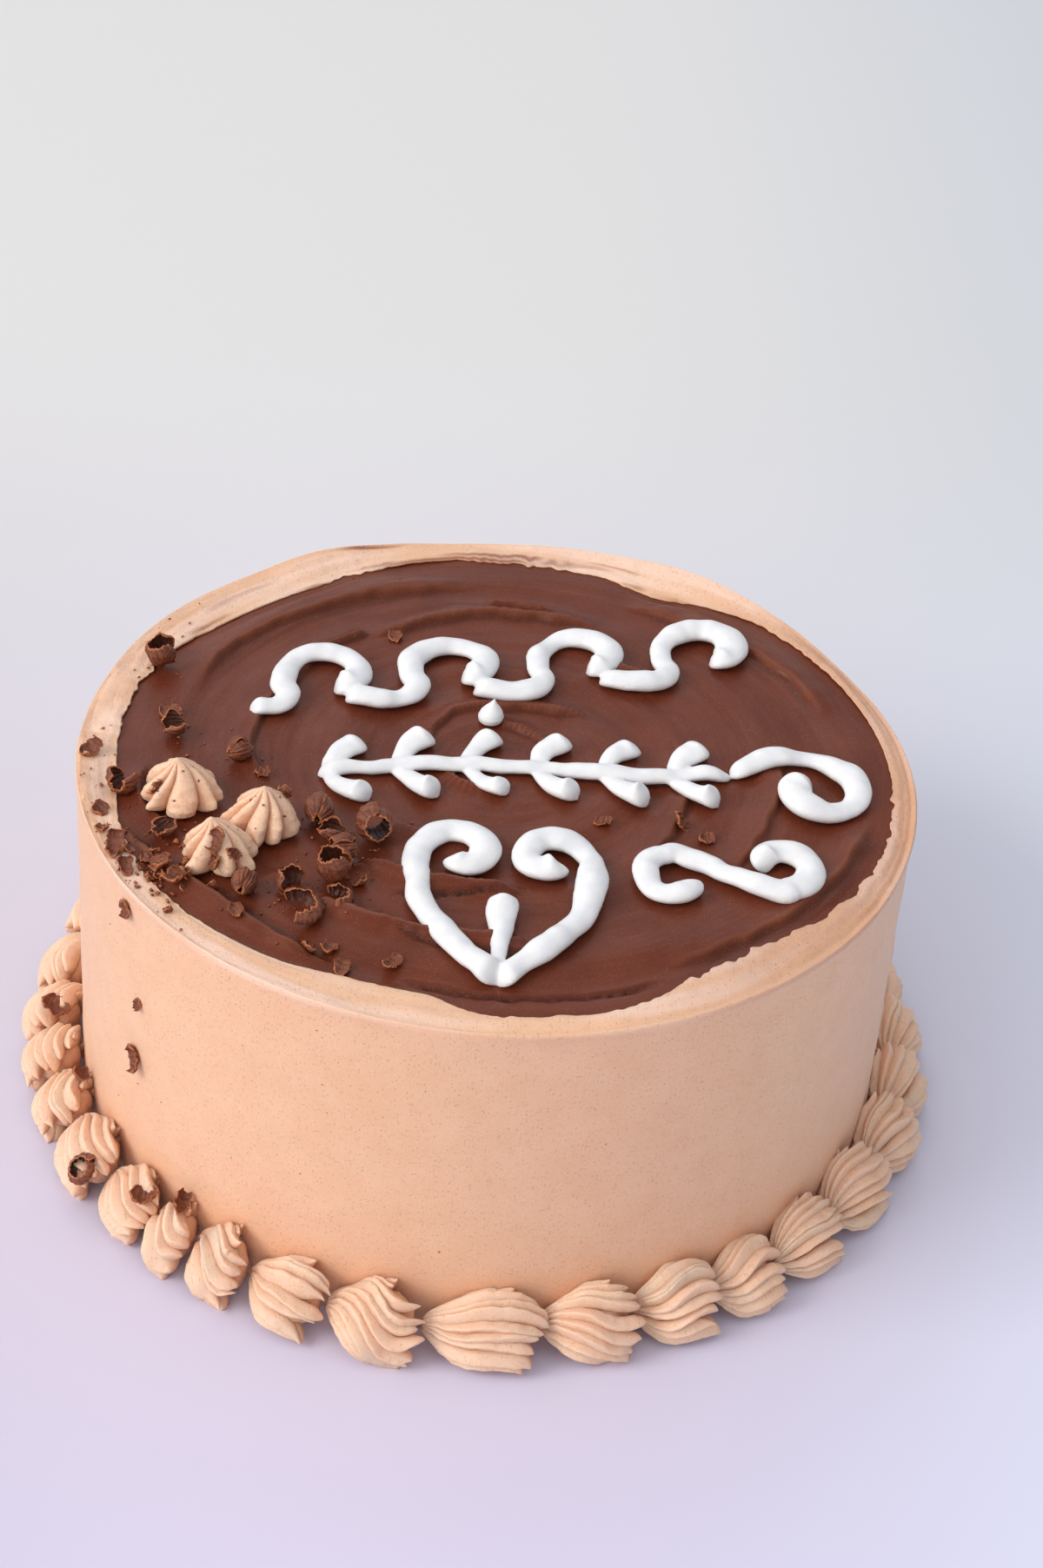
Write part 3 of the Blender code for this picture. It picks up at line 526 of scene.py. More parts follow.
def ganache_finish():
    """Spread ganache: satin, with fine strokes drawn round the cake, dust, painted highlights on crests and
    painted shade in grooves.
    """
    made, tree, where, shader = new_material("ganache_finish")
    strokes = noise(tree, polar_place(tree, where, 9), 1.5, 4, 0.6)
    patches = noise(tree, where, 18, 3)
    colour = mixed(tree, ranged(tree, patches, 0.3, 0.7), srgb(96, 41, 24), srgb(107, 49, 31))
    colour = mixed(tree, ranged(tree, strokes, 0.5, 0.8, 0.0, 0.35), colour, srgb(126, 65, 42))
    # Painted highlight along the marks' crests.
    colour = mixed(tree, mark_value(tree, "crest"), colour, srgb(150, 90, 62))
    # Painted shade in and beside the grooves.
    colour = mixed(tree, mark_value(tree, "tone"), colour, srgb(46, 18, 12))
    fine = ranged(tree, noise(tree, where, 0.45, 2, 0.7), 0.5, 0.75, 0.0, 0.3)
    colour = mixed(tree, fine, colour, srgb(146, 92, 70))
    colour = tinted(tree, colour, specks(tree, where, 1.1, 0.14, 0.4), 0.5, srgb(176, 120, 92))
    bump = bumped(tree, strokes, 0.16, 0.5)
    bump = bumped(tree, noise(tree, where, 0.6, 3), 0.1, 0.7, bump)
    set_inputs(tree, shader, {
        "Base Color": colour,
        "Roughness": ranged(tree, noise(tree, polar_place(tree, where, 16), 5, 3), 0.3, 0.7, 0.3, 0.44),
        "Specular IOR Level": 0.26,
        "Specular Tint": (1.0, 0.8, 0.68, 1.0),
        "Normal": bump,
    })
    return made


def white_finish():
    """Glossy white icing with a few tiny bubbles."""
    made, tree, where, shader = new_material("white_icing_finish")
    soft = noise(tree, where, 4, 2)
    colour = mixed(tree, ranged(tree, soft, 0.3, 0.7), srgb(240, 240, 238), srgb(232, 233, 236))
    bubbles = specks(tree, where, 1.8, 0.14, 0.2)
    bump = bumped(tree, noise(tree, where, 1.6, 3), 0.08, 0.5)
    bump = bumped(tree, calculated(tree, "SUBTRACT", 1.0, bubbles), 0.06, 0.6, bump)
    set_inputs(tree, shader, {
        "Base Color": colour,
        "Roughness": ranged(tree, soft, 0.3, 0.7, 0.3, 0.42),
        "Specular IOR Level": 0.5,
        "Subsurface Weight": 0.2,
        "Subsurface Radius": (1.0, 0.9, 0.8),
        "Subsurface Scale": 0.002,
        "Normal": bump,
    })
    return made


def chocolate_finish():
    """Shaved chocolate: rough and fibrous, paler along torn edges, with painted shade inside a roll."""
    made, tree, where, shader = new_material("chocolate_finish")
    tone = mark_value(tree, "tone")
    grain = noise(tree, where, 0.5, 4, 0.65)
    colour = mixed(tree, ranged(tree, grain, 0.35, 0.7), srgb(92, 43, 27), srgb(138, 76, 50))
    fibres = ranged(tree, noise(tree, where, 0.8, 2), 0.3, 0.65, 0.4, 1.0)
    colour = tinted(tree, colour, tone, fibres, srgb(196, 116, 66))
    # Painted shade inside a roll, where the tones are under zero.
    colour = tinted(tree, colour, tone, -1.0, srgb(44, 19, 12))
    bump = bumped(tree, grain, 0.14, 0.8)
    set_inputs(tree, shader, {
        "Base Color": colour,
        "Roughness": ranged(tree, grain, 0.3, 0.7, 0.42, 0.62),
        "Specular IOR Level": 0.45,
        "Normal": bump,
    })
    return made


def floor_finish():
    """Pale lilac near the cake, paler and greyer behind it. Near the cake it is painted darker on the left
    and lighter on the right, painted shade and light that even out how the lamps fall on it.
    """
    made, tree, where, shader = new_material("floor_finish")
    split = add_node(tree, "ShaderNodeSeparateXYZ", {0: where})
    away = ranged(tree, split.outputs[1], -0.15, 0.45)
    rightwards = ranged(tree, split.outputs[0], 0.0, 0.3)
    leftwards = ranged(tree, split.outputs[0], -0.3, 0.0)
    # Painted shade to the left and painted light to the right of the cake.
    near = mixed(tree, leftwards, srgb(194, 187, 201), srgb(220, 216, 239))
    near = mixed(tree, rightwards, near, srgb(229, 237, 255))
    far = mixed(tree, rightwards, srgb(226, 225, 223), srgb(211, 215, 219))
    set_inputs(tree, shader, {
        "Base Color": mixed(tree, away, near, far),
        "Roughness": ranged(tree, noise(tree, where, 40, 2), 0.3, 0.7, 0.5, 0.6),
        "Specular IOR Level": 0.3,
    })
    return made


def beside_line(x, y, line, reach):
    """Which points lie near a line, and where they are.

    For those points it gives the place, how far it is to the line's left, how far beyond its ends, and its
    share along it.
    """
    low, high = line.min(0) - reach, line.max(0) + reach
    near = (x > low[0]) & (x < high[0]) & (y > low[1]) & (y < high[1])
    here = np.stack([x[near], y[near]], axis=-1)
    apart = here[:, None, :] - line[None, :, :]
    nearest = (apart**2).sum(-1).argmin(1)
    gap = apart[np.arange(len(here)), nearest]
    way = directions(line)[nearest]
    offset = way[:, 0] * gap[:, 1] - way[:, 1] * gap[:, 0]
    return near, here, offset, np.abs((way * gap).sum(1)), nearest / (len(line) - 1)


def mark_relief(x, y):
    """Height of the spatula's marks at points, with masks of painted shade in and beside their grooves and of
    painted highlight on their crests.
    """
    relief, groove_shade, crest = np.zeros((3, *x.shape))
    for height, width, corners in GANACHE_MARKS:
        line = smooth_line(corners, 1.5)
        near, here, offset, beyond, share = beside_line(x, y, line, 5 * width + 4)
        offset = offset + 0.35 * ripple(here, 4, 31)
        fade = smooth(0, 0.18, share) * smooth(0, 0.18, 1 - share) * bell(beyond, 2)
        if height > 0:
            soft = np.where(offset > 0, 0.34 * width, 2.2 * width)
            relief[near] += MARK_STRENGTH * height * fade * bell(offset, soft)
            # Painted shade along the foot of the steep side.
            beside = 0.8 * height * fade * bell(offset - 0.75 * width, 0.6 * width)
            groove_shade[near] = np.maximum(groove_shade[near], beside)
            # Painted highlight along the crest.
            crest[near] = np.maximum(crest[near], 0.6 * height * fade * bell(offset, 0.3 * width))
        else:
            dip = fade * bell(offset, width) * (0.75 + 0.25 * ripple(here, 1.2, 32))
            relief[near] += height * dip + 0.35 * fade * bell(offset - 1.6 * width, width)
            # Painted shade in the groove.
            groove_shade[near] = np.maximum(groove_shade[near], dip)
    return relief, groove_shade, crest


def ganache_base(x, y):
    """The ganache's broad surface, as in the part."""
    radius = np.hypot(x, y)
    turn = np.arctan2(y, x)
    swirl = np.sin(2 * math.pi * radius / SWIRL_PITCH + turn)
    dip = 0.5 * np.maximum(0, (radius - 70) / 30) ** 2 * np.maximum(0, -np.sin(turn))
    return GANACHE_LEVEL + SWIRL_DEPTH * swirl * np.minimum(1, radius / 30) - dip


def ragged_inner(degrees):
    """The rim's inner edge with its small tears and scallops."""
    round_place = around(1, np.radians(degrees), 0)[..., :2] * WALL_RADIUS
    rough = 0.55 + 0.45 * ripple(round_place, 30, 41)
    scallops = 0.5 * ripple(round_place, 5, 42) + 0.35 * ripple(round_place, 1.8, 43)
    tears = np.maximum(0, ripple(round_place, 3, 44) - 0.9) * 1.6
    return curve_at(RIM_INNER, degrees) + rough * (scallops - tears)


def crispness(degrees):
    """How sharply the scraper left the ridge: clear at the front right, soft elsewhere."""
    return 0.4 + 0.6 * within(-100, -80, -5, 20, degrees)


def rim_height(degrees, share):
    """Height of the rim's band: share is 0 at its outer ridge and 1 at its inner edge."""
    ridge = curve_at(RIM_RIDGE, degrees)
    lip = np.full_like(ridge, GANACHE_LEVEL + RIM_OVER_GANACHE)
    depth = CHANNEL_DEPTH * crispness(degrees)
    middle = 0.5 * (ridge + lip) - 0.5 * depth
    heights = (ridge, ridge - 0.55 * depth, ridge - depth, middle, lip, lip - 0.25)
    k = min(np.searchsorted(BAND_SHARES, share, side="right") - 1, len(BAND_SHARES) - 2)
    t = smooth(BAND_SHARES[k], BAND_SHARES[k + 1], share)
    return heights[k] * (1 - t) + heights[k + 1] * t


def icing_rows(degrees, inner):
    """Radius and height of the icing's rings, from its foot up the side and in over the rim."""
    level, ridge = np.ones_like(degrees), curve_at(RIM_RIDGE, degrees)
    rows = [((WALL_RADIUS - 1.0) * level, 0 * level)]
    for share in np.linspace(0, 1, WALL_ROWS):
        rows.append((WALL_RADIUS * level, 1 + (ridge - RIDGE_FLARE - 1) * share))
    rows += [(WALL_RADIUS + out * crispness(degrees), ridge + up) for out, up in RIDGE_LINE]
    for share in np.linspace(0.015, 1, BAND_ROWS):
        rows.append((WALL_RADIUS - share * (WALL_RADIUS - inner), rim_height(degrees, share)))
    lip = rows[-1][1]
    rows += [(inner + out, lip + up) for out, up in LIP_LINE]
    rows.append((inner + 0.8, (GANACHE_LEVEL - GANACHE_THICKNESS) * level))
    return np.array(rows).swapaxes(0, 1)


def band_relief(degrees, share, place, streak_place):
    """Height of the streaks, lumps and creases on the rim's band, which is roughest at the far left."""
    left = smooth(142, 160, np.abs(degrees))
    streaks = 0.03 * ripple(streak_place, 0.9, 51) + 0.08 * ripple(streak_place, 2.4, 52)
    lumps = (0.16 + 0.2 * left) * ripple(place, 6, 53) + (0.04 + 0.1 * left) * ripple(place, 2.4, 54)
    crumple = 1 - np.abs(ripple(streak_place * np.array([2.2, 1, 1]), 3.0, 55))
    creases = 0.22 * np.maximum(0, crumple - 0.7) * left
    strength = smooth(0.0, 0.1, share) * (1 - 0.6 * smooth(0.93, 1.0, share))
    return (streaks + lumps - creases) * (0.35 + 0.65 * strength)


def band_tones(degrees, share, streak_place):
    """How far the rim's band is darkened: stained along its inner edge at the back and in smears, with
    painted shade over its right side.
    """
    back = within(80, 92, 122, 134, degrees) + 0.5 * within(50, 56, 60, 68, degrees)
    blotches = np.clip(0.35 + 0.9 * ripple(streak_place, 2.6, 57), 0, 1)
    # The term over the right side is painted shade; the rest are stains.
    tones = 0.9 * back * blotches * smooth(0.78, 0.95, share) + 0.34 * within(-75, -40, 35, 60, degrees)
    wander = 0.05 * ripple(streak_place, 2.0, 59)
    for start, end, middle, wide, strength in RIM_SMEARS:
        along = within(start, start + 3, end - 5, end, degrees)
        smear = strength * along * blotches**0.5 * bell(share - middle + wander, wide)
        tones = np.maximum(tones, smear)
    return tones


def build_icing(finish):
    """The side, the ridge, the rim's streaked band and its thin ragged lip over the ganache."""
    degrees = np.linspace(-180, 180, ICING_AROUND, endpoint=False)
    turn, inner = np.radians(degrees), ragged_inner(degrees)
    radius, height = icing_rows(degrees, inner)
    place = around(radius, turn, height)
    wall = slice(1, WALL_ROWS + 3)
    band = slice(wall.stop, WALL_ROWS + 1 + len(RIDGE_LINE) + BAND_ROWS)
    share = np.clip((WALL_RADIUS - radius[band]) / (WALL_RADIUS - inner), 0, 1)
    turns = np.broadcast_to(turn, share.shape)
    streak_place = np.stack([turns * WALL_RADIUS / 11, radius[band], np.sin(turns) * 9], axis=-1)
    height[band] += band_relief(degrees, share, place[band], streak_place)
    radius[wall] += 0.12 * ripple(place[wall] * np.array([1, 1, 2.5]), 16, 56)
    tones, moist_and_highlight = np.zeros((2, *radius.shape))
    # Stains and smears on the band, and painted shade over its right side.
    tones[band] = band_tones(degrees, share, streak_place)
    # Moist patches: glossier, and tinted paler as a painted highlight.
    moist_and_highlight[band] = np.clip(0.3 + 0.9 * ripple(streak_place, 3.0, 58), 0, 1)
    seat = (0, 0, GANACHE_LEVEL - GANACHE_THICKNESS)
    points, faces = closed(around(radius, turn, height), (0, 0, 0), seat)
    marks = {"tone": with_ends(tones), "moist_and_highlight": with_ends(moist_and_highlight)}
    return add_piece("icing", points, faces, finish, "buttercream", ["cake"], **marks)


def build_ganache(finish):
    """The ganache: swirls, the spatula's marks and fine strokes, running out under the rim's lip."""
    turn = np.linspace(-math.pi, math.pi, GANACHE_AROUND, endpoint=False)
    edge = curve_at(RIM_INNER, np.degrees(turn)) + 1.1
    radius = np.linspace(0, 1, GANACHE_ROWS + 1)[:0:-1, None] * edge
    x, y = radius * np.cos(turn), radius * np.sin(turn)
    relief, groove_shade, crest = mark_relief(x, y)
    stroke_place = np.stack([x / 12, y / 12, radius], axis=-1)
    strokes = 0.06 * ripple(stroke_place, 1.4, 61) + 0.16 * ripple(stroke_place, 4, 62)
    soft = 0.15 * ripple(np.stack([x, y], axis=-1), 14, 63)
    height = ganache_base(x, y) + relief + (strokes * smooth(0, 12, radius) + soft)
    under_lip = GANACHE_LEVEL + RIM_OVER_GANACHE - 0.75 + 3 * smooth(2.5, 9, edge - radius)
    height = np.minimum(height, under_lip)
    bottom = GANACHE_LEVEL - GANACHE_THICKNESS + 0.35
    rings = around(np.vstack([radius[:1], radius]), turn, np.vstack([np.full_like(turn, bottom), height]))
    points, faces = closed(rings, (0, 0, bottom), (0, 0, height[-1].mean()))
    # Masks of painted shade in the grooves and painted highlight on the crests.
    tone, crest = (with_ends(np.vstack([np.zeros_like(turn), mark])) for mark in (groove_shade, crest))
    return add_piece("ganache_top", points, faces, finish, "ganache", ["ganache"], tone=tone, crest=crest)


def held_apart(px, py, place):
    """A star's points about its middle, held back where the stars beside it begin."""
    x, y, radius = place[:3]
    for other in STARS:
        if other is place:
            continue
        gap = math.hypot(other[0] - x, other[1] - y)
        ux, uy = (other[0] - x) / gap, (other[1] - y) / gap
        beyond = np.maximum(0, px * ux + py * uy - gap * radius / (radius + other[2]) + 0.1)
        px, py = px - beyond * ux, py - beyond * uy
    return px, py


def build_star(index, place, finish):
    """A star drop: soft ridges with deep creases that sweep up from uneven feet to a pulled tip."""
    x, y, radius, height, turn, lean_x, lean_y = place
    source = np.random.default_rng(70 + index)
    rise = (np.linspace(0, 1, STAR_ROWS) ** 1.1)[:, None]
    angle = np.linspace(0, 2 * math.pi, STAR_COLUMNS, endpoint=False)[None, :]
    warp = angle + 0.14 * np.sin(3 * angle + source.uniform(0, 6)) + 0.08 * np.sin(2 * angle)
    phase = STAR_LOBES * warp / (2 * math.pi)
    crest = np.abs(np.cos(math.pi * phase)) ** 0.6
    lobe = np.floor(phase + 0.5).astype(int) % STAR_LOBES
    longer = source.uniform(-0.14, 0.2, STAR_LOBES)[lobe]
    lift = source.uniform(0, 1, STAR_LOBES)[lobe]
    shape = np.interp(rise, STAR_RISES, STAR_WIDTHS)
    depth = STAR_CREASE * smooth(0.02, 0.3, shape)
    foot = smooth(0.4, 0.0, rise)
    out = radius * shape * (1 - depth * (1 - crest)) * (1 + foot * crest * (0.1 * crest + longer))
    level = height * rise + foot * (1.2 * lift * crest**2 - 0.2)
    spin = angle + STAR_TWIST * rise + 0.25 * smooth(0.3, 0.9, rise) * rise + math.radians(turn)
    px, py = out * np.cos(spin) + lean_x * rise**2, out * np.sin(spin) + lean_y * rise**2
    px, py = held_apart(px, py, place)
    name = f"star_{index}"
    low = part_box(name)[0].z / MM
    rings = np.stack([x + px, y + py, low + np.maximum(level, 0)], axis=-1)
    rings += around(0.12 * ripple(rings, 2.2, 75 + index) + 0.06 * ripple(rings, 0.9, 85 + index), spin, 0)
    points, faces = closed(rings, (x, y, low), (x + lean_x, y + lean_y, low + height))
    marks = {
        "streak": with_ends(5 * phase + 0 * rise),
        "run": with_ends(height * rise / 9 + 0 * phase, 0, height / 9),
        # Painted shade in the creases.
        "tone": with_ends((1 - crest) ** 1.5 * smooth(0.0, 0.12, rise + 0.04)),  # in the creases
    }
    return add_piece(f"piped_{name}", points, faces, finish, "piped_buttercream", [name], **marks)


def border_places():
    """Every dollop's (tail, next tail, tail radius, height, reach, ridges, twist).

    At the back the places and heights are read from the frame.
    """
    source = np.random.default_rng(9)
    step = (BACK_END - BACK_START) / BACK_COUNT
    rows = list(BORDER)
    for i in range(len(BORDER), len(BORDER) + BACK_COUNT):
        low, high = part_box(f"border_{i + 1:02d}")
        corner = math.degrees(math.atan2(0.5 * (low.y + high.y), 0.5 * (low.x + high.x)))
        ridges, twist = int(source.integers(6, 9)), source.uniform(0, 35)
        rows.append((corner - 0.52 * step, BACK_TAIL_RADIUS, high.z / MM, BACK_REACH, ridges, twist))
    tails = [row[0] for row in rows[1:]] + [rows[0][0] + 360]
    return [(row[0], after, *row[1:]) for row, after in zip(rows, tails)]


class Body:
    """The round body of a dollop: it swells from a pinched tail, leans on the wall and has a blunt head."""

    def __init__(self, place):
        self.tail, after, self.tail_radius, self.height, self.reach = place[:5]
        self.span = math.radians(after - self.tail)
        self.inner = WALL_RADIUS + 0.35

    def swell(self, t):
        """How full it is at share t along it."""
        grown = np.sin(np.clip(t / 0.6, 0, 1) * math.pi / 2) ** 0.8
        blunt = np.sqrt(np.clip(1 - (np.maximum(0, t - 0.7) / 0.43) ** 2, 0.1, 1))
        return (0.1 + 0.9 * grown) * blunt

    def surface(self, t, angle, sink):
        """Points on it, sunk by so much, and their outward ways. Angle 0 looks away from the wall, 90 up."""
        swell = self.swell(t)
        settled = smooth(0.0, 0.4, t)
        high = np.sin(angle)
        middle = (1 - settled) * self.tail_radius + settled * (self.inner + 0.47 * self.reach)
        middle = middle - 0.16 * self.reach * swell * np.maximum(0, high)
        level = (1 - settled) * TAIL_HEIGHT + settled * 0.4 * self.height * (0.3 + 0.7 * swell)
        half = np.maximum(0.1, 0.53 * self.reach * swell - sink)
        up = np.maximum(0.1, 0.62 * self.height * swell - sink)
        down = np.maximum(0.1, (1 - settled) * 2.0 + settled * level - sink)
        radius = middle + half * np.cos(angle)
        rising = level + np.where(high > 0, up * high, -down * np.abs(high) ** 0.7)
        turn = math.radians(self.tail) + self.span * t
        return around(radius, turn, rising), around(np.cos(angle), turn, high)


def closed_tube(centres, ways, wide, high, sides, lean):
    """A closed tube round a line of points, wide along its bed and high away from it, with a crisp crest."""
    along = directions(centres)
    across = np.cross(along, ways)
    across /= np.linalg.norm(across, axis=1)[:, None]
    out = np.cross(across, along)
    angle = np.linspace(0, 2 * math.pi, sides, endpoint=False)
    raised = np.maximum(0, np.sin(angle))
    section = np.cos(angle) * (1 - 0.55 * raised) + lean * raised**2
    rings = centres[:, None, :] + across[:, None, :] * (section * wide[:, None])[..., None]
    rings = rings + out[:, None, :] * (np.sin(angle) * high[:, None])[..., None]
    return closed(rings, centres[0] - along[0] * 0.1, centres[-1] + along[-1] * 0.1)


def strand(body, angle, pitch, twist, source, detail, seed):
    """One ridge of a dollop, from its tail to its own end, with how far along it each point is.

    By the wall it ends early in a peak, by the floor in a turned-out lobe, and between them at the head.
    """
    sides, stations = detail
    s = np.linspace(0, 1, stations)
    by_wall, by_floor = smooth(1.75, 2.5, angle), 1 - smooth(0.1, 0.8, angle)
    end = 1.02 - 0.36 * by_wall - 0.16 * by_floor + source.uniform(-0.05, 0.04)
    t = end * s
    sweep = math.radians(twist)
    bend = angle + 0.35 * sweep - sweep * smooth(0.0, 0.9, t) + 0.3 * sweep * np.sin(2 * math.pi * t)
    bend = bend + 0.06 * np.sin(5 * t + source.uniform(0, 6))
    along = end * body.span * WALL_RADIUS
    from_tip = (1 - s) * along
    pointed = by_wall > 0.5 or source.uniform() < 0.3
    if pointed:
        tip = np.minimum(from_tip / source.uniform(3.5, 6), 1) ** 0.7
    else:
        tip = np.sqrt(np.clip(1 - (1 - np.minimum(from_tip / 3.2, 1)) ** 2, 0.02, 1))
    fat = source.uniform(0.8, 1.2)
    width = (0.56 * pitch * STRAND_REACH * body.swell(t) * fat + 0.22) * np.maximum(tip, 0.05)
    width = width * (1 + 0.08 * np.sin(9 * t + seed) * smooth(0.3, 0.8, t))
    centres, ways = body.surface(t, bend, 0.75 * width)
    curl = np.clip(1 - from_tip / 5.0, 0, 1) ** 2
    centres[:, 2] += curl * (source.uniform(0.8, 3.2) * by_wall - 0.8 * by_floor + source.uniform(-0.4, 0.4))
    centres += ways * (curl * (source.uniform(0.2, 1.4) * (1 - by_wall) + 0.8 * by_floor))[:, None]
    lean = source.uniform(-0.5, 0.5)
    points, faces = closed_tube(centres, ways, width + 0.05, 1.5 * width + 0.05, sides, lean)
    return points, faces, with_ends(np.repeat(s * along, sides), 0, along)


def build_dollop(index, place, finish):
    """One dollop: ridges fan out from a pinched tail over a round body and end one after another."""
    ridges, twist = place[5:]
    source = np.random.default_rng(100 + index)
    sides, stations = FRONT_DETAIL if index <= len(BORDER) else BACK_DETAIL
    body = Body(place)
    t = np.linspace(0, 0.9, BODY_GRID[0])[:, None]
    angle = np.linspace(0, 2 * math.pi, BODY_GRID[1], endpoint=False)[None, :]
    rings = body.surface(t, angle, 1.9 + 2.4 * smooth(0.7, 0.9, t))[0]
    core, faces = closed(rings, rings[0].mean(0), rings[-1].mean(0))
    blank = np.zeros(len(core))
    shapes = [(core, faces, blank, blank, blank + 1)]
    starts = np.radians(np.linspace(-24, 172, ridges + 4)) + source.normal(0, 0.06, ridges + 4)
    pitch = math.radians(196) / (ridges + 2.5)
    streak = with_ends(np.tile(np.abs(np.arange(sides) - sides / 2), stations))
    # Painted shade on each strand's underside, where it meets the body.
    buried = 0.5 - 0.5 * np.sin(np.linspace(0, 2 * math.pi, sides, endpoint=False))
    tone = with_ends(np.tile(smooth(0.3, 0.75, buried), stations))
    for k, start in enumerate(starts):
        shape = strand(body, start, pitch, twist, source, (sides, stations), 20 * index + k)
        shapes.append((*shape, streak + 20 * k, tone))
    points, faces, run, streak, tone = joined(shapes)
    points += (0.09 * ripple(points, 1.6, 300 + index))[:, None] * np.array([0.6, 0.6, 1])
    out = np.hypot(points[:, 0], points[:, 1])
    points[:, :2] *= (np.maximum(out, WALL_RADIUS + 0.03) / out)[:, None]
    points[:, 2] = np.maximum(points[:, 2], 0.02)
    name = f"border_{index:02d}"
    marks = {"streak": streak * 0.5, "run": run / 9, "tone": tone}
    return add_piece(f"piped_{name}", points, faces, finish, "piped_buttercream", [name], **marks)


def spiral(centre, start_radius, end_radius, start_angle, sweep, count=9):
    """Corners of a spiral round centre, from the outside in."""
    corners = []
    for i in range(count):
        t = i / (count - 1)
        radius = start_radius + (end_radius - start_radius) * t**0.8
        angle = math.radians(start_angle + sweep * t)
        x, y = in_plan(radius, angle)
        corners.append((centre[0] + x, centre[1] + y))
    return corners


def row_steps(start, end, count):
    """Start of a row in plan, its step and the direction to its side."""
    start, end = np.array(start, float), np.array(end, float)
    along = (end - start) / count
    return start, along, np.array([-along[1], along[0]]) / np.linalg.norm(along)


def waves(start, end, count, height):
    """Running waves as (kind, corners): each rises from the row's line, and its crest curls over and in."""
    start, along, side = row_steps(start, end, count)
    heading = math.degrees(math.atan2(along[1], along[0]))
    lines = []
    for k in range(count):
        foot = start + along * k
        rise = [tuple(foot + along * u + side * height * v) for u, v in WAVE_FOOT[0 if k else 1:]]
        centre = foot + along * WAVE_CENTRE + side * 0.5 * height
        crest = spiral(centre, 0.5 * height, WAVE_END * height, heading + 195, WAVE_TURN, 11)
        lines.append(("curl", rise + crest))
    return lines


def lying_scroll(start, end, height):
    """One line as (kind, corners) with a spiral at either end, the first curled over and the last under."""
    start, along, side = row_steps(start, end, 1)
    heading = math.degrees(math.atan2(along[1], along[0]))
    over, under = (start + along * u + side * 0.5 * height for u in LYING_ENDS)
    first = spiral(over, 0.5 * height, WAVE_END * height, heading + 60, LYING_TURN, 11)
    last = spiral(under, 0.5 * height, WAVE_END * height, heading + 240, LYING_TURN, 11)
    return [("curl", first[::-1] + last)]


def leafy_stem(start, end, pairs, reach):
    """A gently waving stem as (kind, corners), with pairs of fat drops that lean forwards off it."""
    start, along, side = row_steps(start, end, pairs)

    def on_stem(u):
        return start + along * u + side * STEM_SWING * math.sin(0.9 * u)

    lines = [("stem", [on_stem(u) for u in range(pairs + 1)])]
    for k in range(pairs):
        for way in (side * reach, side * -reach):
            root = on_stem(k + 0.1)
            corners = (root + along * LEAF_LEAN + way, root + along * 0.45 * LEAF_LEAN + way * 0.62, root)
            lines.append(("leaf", corners))
    return lines


def heart(foot, half_width, height):
    """Two mirrored scrolls that rise from one foot and curl inwards, with a bud between them."""
    lines = []
    for way in (-1, 1):
        side = [(0.0, 0.0), (0.45 * half_width, 0.17 * height), (0.88 * half_width, 0.42 * height)]
        side += spiral((0.5 * half_width, 0.76 * height), 0.5 * half_width, 2.6, -12, 350, 11)
        lines.append(("curl", [(foot[0] + way * x, foot[1] + y) for x, y in side]))
    lines.append(("leaf", [(foot[0], foot[1] + share * height) for share in (0.5, 0.36, 0.2, 0.06)]))
    return lines


def scrollwork():
    """Every row of the scrollwork, as its lines in plan."""
    hook = [(60, 1.6), (72, 9), (82, 9.5), *spiral((82, -6), 13, 3, 55, -320, 9)]
    return {
        "scroll_upper": waves((-60, 15), (74, 48), 4, 28),
        "scroll_middle": [*leafy_stem((-46, -11), (60, 3), 6, 12), ("curl", hook)],
        "scroll_right": lying_scroll((37, -60), (87, -44), 21),
        "scroll_heart": heart((3.5, -89), 22, 62),
    }


def line_swell(kind, t):
    """Thickness of a piped line along it: curls end in a fat drop, and leaves start with one."""
    if kind == "curl":
        return 0.92 + 0.2 * t**3
    if kind == "leaf":
        return 1.1 - 0.65 * t
    return np.full_like(t, 0.7)


def tube(corners, kind, seed):
    """One piped stroke as a closed tube, uneven as the hand squeezed it, with a small pulled peak."""
    line = smooth_line(corners, LINE_STEP)
    source = np.random.default_rng(seed)
    t = np.linspace(0, 1, len(line))
    along = directions(line)
    across = np.stack([-along[:, 1], along[:, 0]], axis=1)
    line = line + across * (0.3 * ripple(line, 6, seed + 3))[:, None]
    pulse = 0.02 * ripple(line, 3.2, seed + 1) + 0.12 * ripple(line, 10, seed + 2)
    span = len(line) * LINE_STEP
    from_end = np.minimum(t, 1 - t) * span
    rounded = np.sqrt(1 - (1 - np.clip(from_end / LINE_ROUNDING, 0, 1)) ** 2)
    fat = line_swell(kind, t) * (1 + pulse) * (0.05 + 0.95 * rounded)
    tall = fat * (1 + 0.07 * ripple(line, 6, seed + 4)) * (0.6 + 0.4 * rounded)
    sides = np.linspace(0, 2 * math.pi, LINE_SIDES, endpoint=False)
    wide = np.cos(sides) * (1 + 0.08 * np.cos(2 * sides))
    high = ((1 + np.sin(sides)) / 2) ** 0.9
    base = ganache_base(line[:, 0], line[:, 1])
    rings = np.empty((len(line), LINE_SIDES, 3))
    rings[..., :2] = line[:, None, :] + across[:, None, :] * (wide * fat[:, None] * LINE_RADIUS)[..., None]
    rings[..., 2] = base[:, None] + 0.1 + high * tall[:, None] * LINE_HEIGHT
    peak_at = {"curl": 1 - 4.0 / span, "leaf": 4.2 / span, "stem": 1.0}[kind]
    peak = source.uniform(0.2, 1.6) * bell((t - peak_at) * span, 1.0)
    rings[..., 2] += peak[:, None] * np.maximum(0, np.sin(sides)) ** 3
    return closed(rings, rings[0].mean(0), rings[-1].mean(0))


